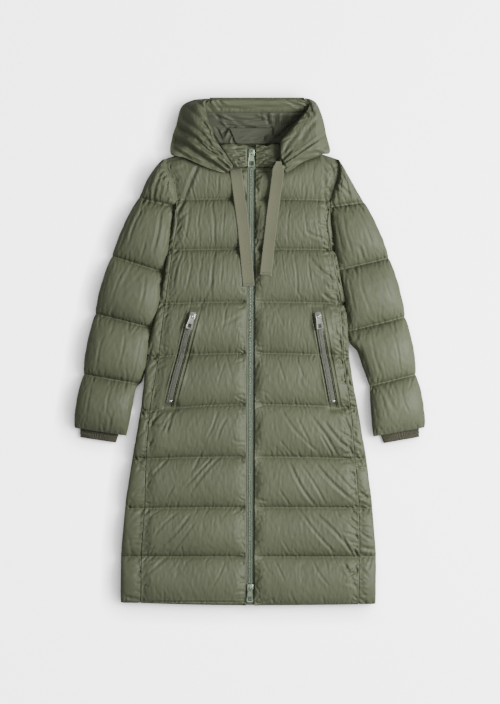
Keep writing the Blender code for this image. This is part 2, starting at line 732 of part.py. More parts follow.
def make_hood_back():
    top = [[floor_point(row.y, share, 0.0) for share in FLOOR_SHARES] for row in HOOD_FLOOR]
    bottom = np.array(top)
    bottom[..., 2] = [[row.under] for row in HOOD_FLOOR]
    slab("hood_back", np.array(top), bottom, SHELL)


def sheet_on_floor(name, heights, shares, lift, thick, finish):
    """A thin layer on the hood's crown, between two heights on the coat."""
    low, high = heights
    ys = [low] + [row.y for row in HOOD_FLOOR if low + 0.002 < row.y < high - 0.002] + [high]
    bottom = [[floor_point(y, share, lift) for share in shares] for y in ys]
    top = [[floor_point(y, share, lift + thick) for share in shares] for y in ys]
    slab(name, np.array(top), np.array(bottom), finish)


INSIDE_THICK = 0.0020  # the facing and the lining
PATCH_THICK = 0.0015


def make_hood_inside():
    wide = (0.03, 0.25, 0.5, 0.75, 0.97)
    middle = (0.30, 0.42, 0.58, 0.68)
    on_lining = INSIDE_THICK + 2 * LAYER_GAP
    sheet_on_floor("hood_facing", (0.5735, 0.6060), wide, LAYER_GAP, INSIDE_THICK, SHELL)
    sheet_on_floor("hood_lining", (0.5000, 0.5730), wide, LAYER_GAP, INSIDE_THICK, LINING)
    sheet_on_floor("neck_facing", (0.5000, 0.5370), middle, on_lining, PATCH_THICK, LINING)


# Across a collar from its outer end to the zip: share of the width, share of the height.
COLLAR_ROUND = ((0.0, 0.75), (0.25, 1.0), (0.65, 0.9), (1.0, 0.55))
COLLAR_BASE = 0.008
COLLAR_CROWN = 0.016


def make_collar(side):
    """The stand beside the top of the zip, on the back's neck."""
    sign = -1 if side == "right" else 1
    top, bottom = [], []
    for row in COLLAR:
        inner = zip_x(row.y) + sign * (ZIP_HALF + SEAM_GAP)
        outer = sign * getattr(row, side)
        across = [outer + share * (inner - outer) for share, _ in COLLAR_ROUND]
        highs = [NECK_TOP + COLLAR_BASE + COLLAR_CROWN * row.puff * crown for _, crown in COLLAR_ROUND]
        top.append([(x, row.y, z) for x, z in zip(across, highs)])
        bottom.append([(x, row.y, NECK_TOP + LAYER_GAP) for x in across])
    top, bottom = np.array(top), np.array(bottom)
    if sign > 0:
        top, bottom = top[:, ::-1], bottom[:, ::-1]
    slab(f"collar_{side}", top, bottom, SHELL)


def make_front_zip():
    """Two tapes that meet under the chain, with a slider at each end."""
    ends = (ZIP_BOTTOM_Y, ZIP_TOP_Y)
    for side, sign in (("right", -1), ("left", 1)):
        spans = [sorted((zip_x(y) + sign * SEAM_GAP / 2, zip_x(y) + sign * ZIP_HALF)) for y in ends]
        bottom = np.array([[(x, y, ZIP_Z) for x in span] for span, y in zip(spans, ends)])
        slab(f"zip_tape_{side}", bottom + (0, 0, TAPE_THICK), bottom, ZIP_CLOTH)
    chain_z = ZIP_Z + TAPE_THICK + SEAM_GAP
    bottom = np.array([[(zip_x(y) + x, y, chain_z) for x in (-CHAIN_HALF, CHAIN_HALF)] for y in ends])
    slab("zip_chain", bottom + (0, 0, CHAIN_THICK), bottom, TINTED_METAL)
    slider_z = chain_z + CHAIN_THICK + SEAM_GAP
    for end, kind, y in (("top", MAIN_SLIDER, 0.4760), ("bottom", HEM_SLIDER, -0.5660)):
        place = Matrix.Translation((zip_x(y), y, slider_z))
        slider_and_pull(f"slider_{end}", f"pull_{end}", kind, place, TINTED_METAL, SLIDER_TILT)


def make_strap(side, tops):
    """A flat drawstring. It lies on the chest and spans the quilt seams it crosses."""
    knots = STRAPS[side]
    route = []
    for a, b in zip(knots, knots[1:]):
        steps = max(1, round((a.y - b.y) / STRAP_STEP))
        route += [blend(a, b, i / steps) for i in range(steps)]
    route.append(np.array(knots[-1]))
    heights = []
    for x, y in route:
        offsets = np.linspace(-0.5, 0.5, 15) * (STRAP_WIDTH + STRAP_SPARE)
        steps = np.linspace(-0.5, 0.5, 7) * STRAP_STEP
        under = [height_at(tops, x + offset, y + step) or 0.0 for offset in offsets for step in steps]
        heights.append(max(under) + STRAP_GAP)
    heights = np.array(heights)
    for _ in range(STRAP_PASSES):
        eased = heights.copy()
        eased[1:-1] = (heights[:-2] + heights[2:]) / 2 - STRAP_SAG
        heights = np.maximum(heights, eased)
    left, right = [], []
    for i, (x, y) in enumerate(route):
        ahead, behind = route[min(i + 1, len(route) - 1)], route[max(i - 1, 0)]
        along = (ahead - behind) / np.linalg.norm(ahead - behind)
        across = np.array((-along[1], along[0])) * STRAP_WIDTH / 2
        left.append((x + across[0], y + across[1], heights[i]))
        right.append((x - across[0], y - across[1], heights[i]))
    bottom = np.array(list(zip(left, right)))
    slab(f"drawstring_{side}", bottom + (0, 0, STRAP_THICK), bottom, TWILL)


def make_pocket(side, rows, tops):
    """A slanted zip on the front: tape, chain, raised welt, end stop, slider and pull tab."""
    pocket = POCKETS[side]
    lean = (pocket.bottom_x - pocket.top_x) / (pocket.bottom_y - pocket.top_y)

    def down(start, end):
        """The pocket's line between two distances from its top."""
        ys = pocket.top_y - start, pocket.top_y - end
        return tuple((pocket.top_x + lean * (y - pocket.top_y), y) for y in ys)

    length = pocket.top_y - pocket.bottom_y
    chain = (-CHAIN_IN - POCKET_CHAIN, -CHAIN_IN)
    chain_lift = PANEL_GAP + TAPE_THICK + SEAM_GAP
    pieces = (
        ("tape", down(0, length), (-POCKET_TAPE, -SEAM_GAP), TAPE_THICK, PANEL_GAP, ZIP_CLOTH),
        ("chain", down(0, length - 0.006), chain, POCKET_CHAIN_THICK, chain_lift, TINTED_METAL),
        ("stop", down(length - 0.005, length - 0.001), chain, 0.0026, chain_lift, SILVER),
        ("welt", down(0.045, length + 0.012), (SEAM_GAP, POCKET_WELT), 0.0050, PANEL_GAP, SHELL),
    )
    for piece, line, offsets, thick, lift, finish in pieces:
        strip_on_fronts(f"pocket_{piece}_{side}", tops, rows, line, offsets, thick, lift, finish)
    middle = -CHAIN_IN - POCKET_CHAIN / 2
    ends = []
    for x, y in down(0.001, 0.001 + POCKET_SLIDER.length):
        ends.append(Vector((x + middle, y, height_at(tops, x + middle, y))))
    up = (ends[0] - ends[1]).normalized()
    across = up.cross(Vector((0, 0, 1))).normalized()
    normal = across.cross(up)
    place = Matrix((across, up, normal)).transposed().to_4x4()
    place.translation = (ends[0] + ends[1]) / 2 + normal * (chain_lift + POCKET_CHAIN_THICK + SEAM_GAP)
    slider_and_pull(f"pocket_slider_{side}", f"pocket_pull_{side}", POCKET_SLIDER, place, SILVER, POCKET_TILT)


def main():
    for old in list(bpy.data.objects):
        bpy.data.objects.remove(old)
    rows = body_rows()
    tops = make_body(rows)
    for side in ("right", "left"):
        make_sleeve(side, rows)
        make_cuff(side)
        make_hood_side(side)
        make_collar(side)
        make_strap(side, tops)
        make_pocket(side, rows, tops)
    make_hood_back()
    make_hood_inside()
    make_front_zip()


main()
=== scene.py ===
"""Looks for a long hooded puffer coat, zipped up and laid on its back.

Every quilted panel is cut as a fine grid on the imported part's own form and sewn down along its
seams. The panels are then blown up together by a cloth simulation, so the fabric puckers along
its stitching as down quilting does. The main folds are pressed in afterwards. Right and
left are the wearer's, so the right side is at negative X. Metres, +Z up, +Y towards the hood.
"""

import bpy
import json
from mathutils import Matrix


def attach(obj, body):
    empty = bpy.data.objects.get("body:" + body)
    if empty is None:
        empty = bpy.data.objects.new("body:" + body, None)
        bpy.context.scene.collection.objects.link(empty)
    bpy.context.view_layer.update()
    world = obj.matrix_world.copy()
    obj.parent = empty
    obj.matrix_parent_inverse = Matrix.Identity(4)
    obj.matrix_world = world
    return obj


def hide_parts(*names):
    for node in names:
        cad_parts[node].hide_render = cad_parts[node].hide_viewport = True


bl_info = {
    "name": "Long Puffer Coat",
    "version": (1, 0, 0),
    "blender": (4, 5, 0),
    "location": "View3D > Sidebar > Coat",
    "description": "Builds a quilted long puffer coat on its packed frame",
    "category": "Object",
}

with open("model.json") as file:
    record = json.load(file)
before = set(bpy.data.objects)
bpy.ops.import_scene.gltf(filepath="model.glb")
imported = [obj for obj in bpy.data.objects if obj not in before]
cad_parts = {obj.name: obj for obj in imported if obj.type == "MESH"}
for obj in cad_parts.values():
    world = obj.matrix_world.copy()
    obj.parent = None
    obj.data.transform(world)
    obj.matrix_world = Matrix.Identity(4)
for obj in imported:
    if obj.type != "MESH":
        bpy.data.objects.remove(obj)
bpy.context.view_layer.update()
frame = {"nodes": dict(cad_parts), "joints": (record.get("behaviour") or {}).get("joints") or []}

import json
from collections import namedtuple
from math import pi, radians, sin

import bmesh
import bpy
import numpy as np
from mathutils import Matrix, Vector
from mathutils.bvhtree import BVHTree

# ---- the coat's own measures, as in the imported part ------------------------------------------
SIGN = {"right": -1, "left": 1}  # of X, on each side
SEAM_GAP = 0.0003
STITCHED = 0.0200  # a seam stands this high on the fronts
STITCH_MEET = 0.0100  # front and back meet at this height on a seam, and at the next in a baffle
CROWN_MEET = 0.0230
GROOVE = 0.0050  # the underside lifts this far at a seam
SHOULDER_TOP = 0.0300
SHOULDER_SEAM = 0.0260
NECK_TOP = 0.0200
SIDE_PINCH = 0.78  # share of a baffle's height that is left at the side seam
ZIP_EDGE = 0.0310  # the fronts' height beside the zip
ZIP_HALF = 0.0095
ZIP_TOP_X = 0.0036  # the zip leans over this far
ZIP_Z = 0.0250
ZIP_ENDS = (-0.6040, 0.4900)
SLEEVE_STITCHED = 0.0170
CUFF_THICK = 0.0110
STRAP_THICK = 0.0012
ARMHOLE_Y = 0.3490


def rows_of(kind, *rows):
    """Rows of one table, each as the kind of tuple that names its columns."""
    return tuple(kind(*row) for row in rows)


# Quilt seams from the hem up: height at the middle, and how far each end droops.
Seam = namedtuple("Seam", "y right left")
SEAMS = rows_of(
    Seam,
    (-0.6080, -0.005, -0.002),
    (-0.4910, 0.000, 0.000),
    (-0.3730, 0.002, 0.001),
    (-0.2515, 0.005, 0.005),
    (-0.1260, 0.017, 0.008),
    (-0.0030, 0.011, 0.009),
    (0.1200, 0.007, 0.005),
    (0.2470, 0.005, 0.002),
    (0.3670, 0.004, 0.006),
)

# The body's outline and the side panels' front seams, from the hem up.
Edge = namedtuple("Edge", "y right right_seam left_seam left")
EDGES = rows_of(
    Edge,
    (-0.608, -0.311, -0.262, 0.260, 0.302),
    (-0.485, -0.310, -0.261, 0.263, 0.303),
    (-0.360, -0.299, -0.252, 0.261, 0.293),
    (-0.250, -0.282, -0.249, 0.251, 0.279),
    (-0.135, -0.262, -0.240, 0.241, 0.259),
    (-0.010, -0.249, -0.219, 0.224, 0.238),
    (0.060, -0.235, -0.211, 0.221, 0.236),
    (0.130, -0.217, -0.202, 0.216, 0.229),
    (0.245, -0.198, -0.186, 0.193, 0.205),
    (0.308, -0.186, -0.174, 0.183, 0.1940),
    (0.348, -0.1795, -0.178, 0.1905, 0.192),
    (0.378, -0.1785, -0.177, 0.1980, 0.1995),
    (0.414, -0.1845, -0.183, 0.2105, 0.212),
    (0.442, -0.1995, -0.198, 0.2155, 0.217),
    (0.468, -0.2040, -0.2025, 0.2080, 0.2095),
)

# The hood's lower edge, the shoulder seam and the back's neck: x and y in mm.
HOOD_LINE = (
    (-205, 450), (-159, 459), (-124, 447), (-91, 436), (-53, 426),
    (0, 428), (83, 427), (132, 453), (170, 463), (210, 450),
)  # fmt: skip
SHOULDER_LINE = ((-205, 461), (-107, 484), (-58, 441), (62, 441), (114, 484), (210, 461))
NECK_LINE = ((-205, 463), (-107, 494), (-58, 496), (62, 496), (114, 494), (210, 463))

# Sleeve seams from the armpit to the cuff: outer and inner end of each.
Arm = namedtuple("Arm", "outer_x outer_y inner_x inner_y")
SLEEVES = {
    "right": rows_of(
        Arm,
        (-0.2660, 0.3700, -0.1815, 0.3480),
        (-0.3300, 0.2300, -0.2080, 0.1900),
        (-0.3700, 0.0920, -0.2345, 0.0570),
        (-0.3980, -0.0540, -0.2710, -0.0770),
        (-0.4200, -0.1830, -0.2950, -0.2020),
    ),
    "left": rows_of(
        Arm,
        (0.2730, 0.3600, 0.1940, 0.3480),
        (0.3320, 0.2260, 0.2190, 0.1970),
        (0.3710, 0.0840, 0.2410, 0.0500),
        (0.3970, -0.0540, 0.2850, -0.0820),
        (0.4185, -0.1820, 0.2940, -0.2040),
    ),
}
SHOULDER_TIPS = {"right": (-0.2085, 0.4640), "left": (0.2120, 0.4640)}
SHOULDER_BULGE = {"right": 0.006, "left": -0.001}
ARMHOLE_TOP = 0.466
TOUCHES = {"right": -0.090, "left": 0.000}  # a sleeve lies against the body down to here,
TOUCHES_UP = 0.472  # and up to here

# A hood side from the drawstring round to the crown: outline, rim, and heights.
Hood = namedtuple("Hood", "out_x out_y rim_x rim_y base crown rim")
HOODS = {
    "right": rows_of(
        Hood,
        (-0.0560, 0.4260, -0.0390, 0.4430, 0.0380, 0.0620, 0.0600),
        (-0.0910, 0.4350, -0.0560, 0.4720, 0.0355, 0.0720, 0.0640),
        (-0.1240, 0.4480, -0.0720, 0.4940, 0.0350, 0.0760, 0.0660),
        (-0.1590, 0.4640, -0.0810, 0.5060, 0.0340, 0.0760, 0.0660),
        (-0.1910, 0.4720, -0.0850, 0.5190, 0.0320, 0.0720, 0.0660),
        (-0.1890, 0.5120, -0.0880, 0.5340, 0.0000, 0.0700, 0.0640),
        (-0.1780, 0.5450, -0.0960, 0.5500, 0.0000, 0.0680, 0.0600),
        (-0.1660, 0.5880, -0.1030, 0.5760, 0.0000, 0.0620, 0.0560),
        (-0.1400, 0.6040, -0.1040, 0.5900, 0.0000, 0.0560, 0.0540),
        (-0.1120, 0.6078, -0.1040, 0.6000, 0.0000, 0.0560, 0.0540),
        (-0.0980, 0.6082, -0.0930, 0.6040, 0.0000, 0.0545, 0.0530),
    ),
    "left": rows_of(
        Hood,
        (0.0860, 0.4260, 0.0730, 0.4430, 0.0388, 0.0620, 0.0600),
        (0.1080, 0.4400, 0.0700, 0.4640, 0.0355, 0.0700, 0.0640),
        (0.1320, 0.4550, 0.0690, 0.4860, 0.0350, 0.0740, 0.0660),
        (0.1700, 0.4700, 0.0720, 0.5060, 0.0340, 0.0760, 0.0680),
        (0.1930, 0.4760, 0.0840, 0.5200, 0.0320, 0.0740, 0.0680),
        (0.1840, 0.5200, 0.0990, 0.5400, 0.0000, 0.0700, 0.0660),
        (0.1760, 0.5570, 0.1190, 0.5620, 0.0000, 0.0660, 0.0620),
        (0.1620, 0.5920, 0.1390, 0.5840, 0.0000, 0.0600, 0.0580),
        (0.1490, 0.6040, 0.1370, 0.5950, 0.0000, 0.0570, 0.0550),
        (0.1330, 0.6080, 0.1260, 0.6020, 0.0000, 0.0550, 0.0535),
    ),
}
RIM_GAP = -0.0035  # the facing and lining run on under the rims

# The hood's crown under the opening, from the neck up: heights of its underside and its floor.
HOOD_FLOOR = (
    (0.4964, 0.0000, 0.0120),
    (0.5190, 0.0000, 0.0120),
    (0.5400, 0.0000, 0.0130),
    (0.5620, 0.0000, 0.0200),
    (0.5740, 0.0000, 0.0290),
    (0.5900, 0.0000, 0.0430),
    (0.6010, 0.0040, 0.0500),
    (0.6079, 0.0160, 0.0440),
)

# The collar's reach from the zip on each side, and its share of the crown.
Stand = namedtuple("Stand", "y right left puff")
COLLAR = rows_of(
    Stand,
    (0.4440, 0.0375, 0.0635, 0.55),
    (0.4560, 0.0455, 0.0710, 1.0),
    (0.4700, 0.0545, 0.0716, 0.8),
    (0.4840, 0.0635, 0.0706, 1.0),
    (0.4960, 0.0710, 0.0700, 0.6),
)

# Drawstrings from their exits down, and the pockets' lines from top to bottom.
STRAPS = {
    "right": ((-0.0345, 0.4380), (-0.0330, 0.4250), (-0.0160, 0.3000), (-0.0027, 0.1572)),
    "left": ((0.0680, 0.4540), (0.0672, 0.4400), (0.0664, 0.4250), (0.0530, 0.3250), (0.0370, 0.1830)),
}
POCKETS = {
    "right": ((-0.1302, 0.0950), (-0.1860, -0.1210)),
    "left": ((0.1661, 0.0950), (0.2059, -0.1210)),
}


# ---- what a user would change -----------------------------------------------------------------
def linear(hex_colour):
    """An sRGB hex value as linear red, green and blue."""
    parts = [int(hex_colour[i : i + 2], 16) / 255 for i in (1, 3, 5)]
    return tuple(p / 12.92 if p <= 0.04045 else ((p + 0.055) / 1.055) ** 2.4 for p in parts)


def length(name, description, default):
    return bpy.props.FloatProperty(
        name=name, description=description, default=default, min=0, subtype="DISTANCE", unit="LENGTH"
    )


def colour(name, description, hex_colour):
    return bpy.props.FloatVectorProperty(
        name=name, description=description, default=linear(hex_colour), min=0, max=1, subtype="COLOR"
    )


class CoatSizes(bpy.types.PropertyGroup):
    """Sizes of the quilting and of the trims."""

    crown: length("Baffle height", "Height of a filled baffle over the ground", 0.0440)
    sleeve_crown: length("Sleeve height", "Height of a filled sleeve baffle", 0.0540)
    grid: length("Row spacing", "Spacing of the fabric's rows, before its subdivision", 0.0055)
    thread: length("Column spacing", "Spacing of the fabric's grid along seams", 0.0032)
    strap_width: length("Drawstring width", "Width of the flat drawstrings", 0.0280)
    tooth_pitch: length("Tooth spacing", "Distance from one zip tooth to the next", 0.0036)
    stitch: length("Stitch", "Length of one stitch", 0.0034)
    ease: bpy.props.FloatProperty(
        name="Ease", description="Spare fabric between the seams", default=0.019,
        min=0, max=0.2, subtype="FACTOR",
    )  # fmt: skip


class CoatColours(bpy.types.PropertyGroup):
    """Colours of the cloths and metals."""

    shell: colour("Shell", "Olive nylon of the quilted panels", "#424636")
    # Painted shade: the lining is the shell's olive made darker, for the shade inside the hood.
    lining: colour("Lining", "Nylon inside the hood", "#36392e")
    rib: colour("Rib", "Knitted cuffs", "#2d2c1c")
    tape: colour("Zip tape", "Woven tapes of the front zip", "#4a5446")
    teeth: colour("Teeth", "Coated teeth and sliders of the front zip", "#5c6556")
    coil: colour("Pocket zip", "Tapes and coils of the pocket zips", "#414439")
    strap: colour("Drawstring", "Twill of the drawstrings", "#434531")
    silver: colour("Silver", "Pocket sliders and stops", "#a8a9a1")


# ---- the form of the body ---------------------------------------------------------------------
def smooth(t):
    t = np.clip(t, 0, 1)
    return t * t * (3 - 2 * t)


def puffed(t):
    """Share of a baffle's height across it: steep beside the stitching, broad in the middle."""
    t = np.clip(t, 0, 1)
    return (4 * t * (1 - t)) ** 0.6


def on_line(line, x):
    return np.interp(x, [p[0] / 1000 for p in line], [p[1] / 1000 for p in line])


def edge_x(y, field):
    return np.interp(y, [edge.y for edge in EDGES], [getattr(edge, field) for edge in EDGES])


def seam_y(k, x):
    seam = SEAMS[k]
    droop = np.where(np.asarray(x) < 0, seam.right, seam.left)
    return seam.y - droop * np.minimum(1.0, (np.abs(x) / 0.25) ** 2)


def row_y(k, t, x):
    """Height on the coat of the row at share t up baffle k. Baffle 8 ends under the hood."""
    hood = on_line(HOOD_LINE, x) + 0.006
    low = seam_y(k, x) if k < 9 else hood
    high = seam_y(k + 1, x) if k < 8 else (hood if k == 8 else on_line(SHOULDER_LINE, x))
    return low + t * (high - low)


def side_x(k, t, side):
    """Where a row meets the side seam: its x and y, found in steps, as each depends on the other."""
    x = SIGN[side] * 0.2
    for _ in range(8):
        y = float(row_y(k, t, x))
        x = float(edge_x(y, f"{side}_seam"))
    return x, y


def zip_x(y):
    return ZIP_TOP_X * (y - ZIP_ENDS[0]) / (ZIP_ENDS[1] - ZIP_ENDS[0])


def crown_z(k, t, crown):
    """Height of the front's middle on a row."""
    if k < 8:
        return STITCHED + (crown - STITCHED) * puffed(t)
    if k == 8:
        return STITCHED + (SHOULDER_TOP - STITCHED) * smooth(t) + 0.58 * (crown - STITCHED) * puffed(t)
    return SHOULDER_TOP + (SHOULDER_SEAM - SHOULDER_TOP) * t


def meet_z(k, t):
    """Height at which the front, the side panel and the back meet on a row."""
    if k == 9:
        return NECK_TOP
    return STITCH_MEET + (CROWN_MEET - STITCH_MEET) * min(1.0, float(puffed(t)) * 1.15)


# About how long the coat's parts are, to share out the grids' rows and columns.
BAFFLE, UNDER_HOOD = 0.122, {8: 0.075, 9: 0.020}
FRONT_WIDTH = 0.25
ARMHOLE, ARM_BAFFLE, ARM_WIDTH = 0.12, 0.135, 0.17
HOOD_SIDE = 0.36
BUNCH = 0.085  # from one gathering of spare cloth to the next along a seam
TAU = 2 * pi

# A panel to fill: its points as sewn, the cloth's size as cut, the points held by seams, whether
# its rows are closed loops, and the heights of a flat panel's underside.
Cut = namedtuple("Cut", "grid rest held wrap low")
CUTS, FILLED = {}, {}


def seam_steps(count):
    """Shares across a baffle, set closer beside its stitching."""
    even = np.arange(count) / count
    return 0.45 * even + 0.55 * (1 - np.cos(pi * even)) / 2


def baffle_rows(baffles, step):
    """Rows up the body at about the fabric's grid: (baffle, share up it)."""
    rows = []
    for k in baffles:
        pitch = UNDER_HOOD.get(k, BAFFLE)
        rows += [(k, float(t)) for t in seam_steps(max(2, round(pitch / step)))]
    return rows + [(baffles[-1], 1.0)]


def blank(rows, columns):
    """A grid of points to set, and none of them held."""
    return np.zeros((rows, columns, 3)), np.zeros((rows, columns), bool)


def cut_front(side, sizes):
    """A front panel, sewn down along its seams, its side and its zip."""
    sign = SIGN[side]
    rows = baffle_rows(range(10), sizes.grid)
    share = np.linspace(0, 1, max(8, round(FRONT_WIDTH / sizes.thread)) + 1)
    grid, held = blank(len(rows), len(share))
    low = np.zeros(held.shape)
    # A baffle rises from the side seam, sinks a little towards the zip and meets its edge.
    rise = SIDE_PINCH + (1 - SIDE_PINCH) * smooth(share / 0.12)
    rise *= 1 - 0.12 * smooth((share - 0.6) / 0.33)
    to_zip = np.clip((share - 0.88) / 0.12, 0, 1) ** 2.2
    for i, (k, t) in enumerate(rows):
        outer = side_x(k, t, side)[0] - sign * SEAM_GAP / 2
        inner = zip_x(float(row_y(k, t, 0.0))) + sign * (ZIP_HALF + SEAM_GAP)
        x = outer + share * (inner - outer)
        z = STITCHED + (crown_z(k, t, sizes.crown) - STITCHED) * rise
        end = ZIP_EDGE if k < 9 else ZIP_EDGE + (SHOULDER_SEAM - ZIP_EDGE) * t
        grid[i, :, 0], grid[i, :, 1] = x, row_y(k, t, x)
        grid[i, :, 2] = z * (1 - to_zip) + end * to_zip
        held[i] = t in (0.0, 1.0) or k == 9
        low[i] = meet_z(k, t)
    held[:, [0, -1]] = True
    if sign > 0:
        grid, held = grid[:, ::-1], held[:, ::-1]
    # Spare cloth lies along the seams in bunches, and lower down it is dragged towards the sides.
    rest = grid.copy()
    ease = sizes.ease
    drag = sign * 1.3 * ease * np.minimum(grid[..., 1] - 0.15, 0.0)
    turns = TAU * grid[..., 0] / BUNCH + 2.1 * np.array([k for k, _ in rows])[:, None]
    rest[..., 0] = grid[..., 0] * (1 + ease) + 0.8 * ease * BUNCH / TAU * np.sin(turns) + drag
    return Cut(grid, rest, held, False, low)


def cut_side(side, sizes):
    """A side panel: a fold of fabric from the front's side seam round to the back's."""
    sign = SIGN[side]
    rows = [(k, t) for k, t in baffle_rows(range(8), sizes.grid) if side_x(k, t, side)[1] < ARMHOLE_Y]
    turn = np.linspace(0, pi, 19)
    grid, held = blank(len(rows), len(turn))
    low = np.zeros(held.shape)
    for i, (k, t) in enumerate(rows):
        seam, y = side_x(k, t, side)
        seam += sign * SEAM_GAP / 2
        width = abs(float(edge_x(y, side)) - seam)
        floor = GROOVE * (1 - float(puffed(t)) ** 0.5)
        middle = meet_z(k, t)
        crown = float(crown_z(k, t, sizes.crown))
        high = STITCHED + (crown - STITCHED) * 0.85
        out = width * np.sin(turn) ** 0.8
        up = np.where(turn < pi / 2, high - middle, middle - floor)
        z = middle + up * np.sign(np.cos(turn)) * np.abs(np.cos(turn)) ** 0.75
        # Beside the seam it starts at the front's height.
        front = STITCHED + (crown - STITCHED) * SIDE_PINCH
        near = smooth(1 - out / max(0.3 * width, 0.004)) * (turn < pi / 2)
        grid[i, :, 0] = seam + sign * out
        grid[i, :, 1] = y
        grid[i, :, 2] = z * (1 - near) + front * near
        # Only its upper part fills: not its seams, where it is narrow, or what lies underneath.
        held[i] = t in (0.0, 1.0) or width < 0.012
        held[i, turn > 0.62 * pi] = True
        low[i] = middle
    held[[0, -1]] = True
    held[:, [0, -1]] = True
    rest = grid * (1, 1 + 0.8 * sizes.ease, 1)
    return Cut(grid, rest, held, False, low)


# ---- the form of the sleeves, the hood and the collar ------------------------------------------
def between(points, along):
    """A smooth curve through rows of numbers, read at shares of its length in rows."""
    points = np.asarray(points, float)
    last = len(points) - 1
    at = np.clip(np.asarray(along, float), 0, last)
    i = np.minimum(at.astype(int), last - 1)
    t = (at - i)[:, None]
    before, after = points[np.maximum(i - 1, 0)], points[np.minimum(i + 2, last)]
    a, b = points[i], points[i + 1]
    slope_a, slope_b = (b - before) / 2, (after - a) / 2
    return (
        (2 * t**3 - 3 * t**2 + 1) * a
        + (t**3 - 2 * t**2 + t) * slope_a
        + (3 * t**2 - 2 * t**3) * b
        + (t**3 - t**2) * slope_b
    )


def arm_ends(arm):
    """The outer and the inner end of a sleeve's seam."""
    return np.array((arm.outer_x, arm.outer_y)), np.array((arm.inner_x, arm.inner_y))


def sleeve_rows(side, sizes):
    """(outer end, inner end, share of the crown, sewn) for each row down a sleeve."""
    sign = SIGN[side]
    arms = [arm_ends(arm) for arm in SLEEVES[side]]
    tip, (outside, armpit) = np.array(SHOULDER_TIPS[side]), arms[0]
    rows = []
    # Round the armhole, from the shoulder's tip to the armpit.
    count = round(ARMHOLE / sizes.grid)
    for i in range(count):
        a = (i + 0.5) / (count + 0.5)
        y = ARMHOLE_TOP + (armpit[1] - ARMHOLE_TOP) * a
        inner = np.array((float(edge_x(y, f"{side}_seam")) + sign * 2 * SEAM_GAP, y))
        outer = tip + a * (outside - tip) + np.array((sign * SHOULDER_BULGE[side], 0.004)) * sin(pi * a)
        rows.append((outer, inner, 0.30 + 0.70 * sin(pi * a) ** 0.8, i == 0))
    # Down the arm, each baffle full in its middle and drawn in at its seams.
    for upper, lower in zip(arms, arms[1:]):
        for i, t in enumerate(seam_steps(round(ARM_BAFFLE / sizes.grid))):
            up = float(puffed(t))
            outer, inner = (high * (1 - t) + low * t for high, low in zip(upper, lower))
            outer[0] += sign * 0.008 * up
            inner[0] += sign * 0.003 * (1 - up)
            rows.append((outer, inner, up, i == 0))
    return rows + [(*arms[-1], 0.12, True)]


def cut_sleeve(side, sizes):
    """A sleeve lying flat: a tube of loops, sewn down at each seam."""
    rows = sleeve_rows(side, sizes)
    over, under = round(ARM_WIDTH / sizes.thread), 14
    top = (1 - np.cos(np.linspace(0, pi, over, endpoint=False))) / 2
    back = (1 + np.cos(np.linspace(0, pi, under, endpoint=False))) / 2
    high = 0.45 + 0.55 * np.maximum(0, 1 - np.abs(2 * top - 1) ** 2.6) ** 0.5
    below = 0.45 * np.abs(2 * back - 1) ** 8.6
    share = np.concatenate([top, back])
    up = np.concatenate([high, below])
    grid, held = blank(len(rows), over + under)
    rest = np.zeros_like(grid)
    for i, (outer, inner, puff, sewn) in enumerate(rows):
        height = SLEEVE_STITCHED + (sizes.sleeve_crown - SLEEVE_STITCHED) * puff
        floor = GROOVE * 0.8 * (1 - puff**0.5)
        grid[i, :, :2] = outer + share[:, None] * (inner - outer)
        grid[i, :, 2] = floor + up * (height - floor)
        rest[i] = grid[i]
        rest[i, :, :2] += sizes.ease * (share[:, None] - 0.5) * (inner - outer)
        held[i] = sewn
    held[:, over:] = True
    held[[0, -1]] = True
    return Cut(grid, rest, held, True, None)


# The hood's right side slopes up to its rim, and the left one is full all over: the share of its
# height that it starts with, and the share of its width that it rises over.
HOOD_ARCH = {"right": (0.40, 0.80), "left": (0.60, 0.34)}


def cut_hood_side(side, sizes):
    """A side of the hood, turned down on the shoulder: loops from the drawstring to the crown."""
    table = np.array(HOODS[side])
    rows = between(table, np.linspace(0, len(table) - 1, round(HOOD_SIDE / sizes.grid) + 1))
    over, under = 36, 8
    top = np.linspace(0, 1, over, endpoint=False)
    back = np.linspace(1, 0, under, endpoint=False)
    share = np.concatenate([top, back])
    low, reach = HOOD_ARCH[side]
    grid, held = blank(len(rows), over + under)
    rest = np.zeros_like(grid)
    for i, (out_x, out_y, rim_x, rim_y, base, crown, rim) in enumerate(rows):
        out, inner = np.array((out_x, out_y)), np.array((rim_x, rim_y))
        base = max(0.0, base)
        roof = crown + (rim - crown) * smooth((top - 0.4) / 0.6)
        arch = low + (1 - low) * smooth(top / reach) ** 0.8 - 0.22 * smooth((top - 0.86) / 0.14) ** 2
        grid[i, :, :2] = out + share[:, None] * (inner - out)
        grid[i, :over, 2] = base + (roof - base) * arch
        grid[i, over:, 2] = base
        grid[i, over, 2] = base + 0.5 * (roof[-1] - base)
        rest[i] = grid[i]
        rest[i, :, :2] += 1.5 * sizes.ease * (share[:, None] - 0.5) * (inner - out)
    held[:, over:] = True
    held[:, 0] = True
    held[[0, -1]] = True
    return Cut(grid, rest, held, True, None)


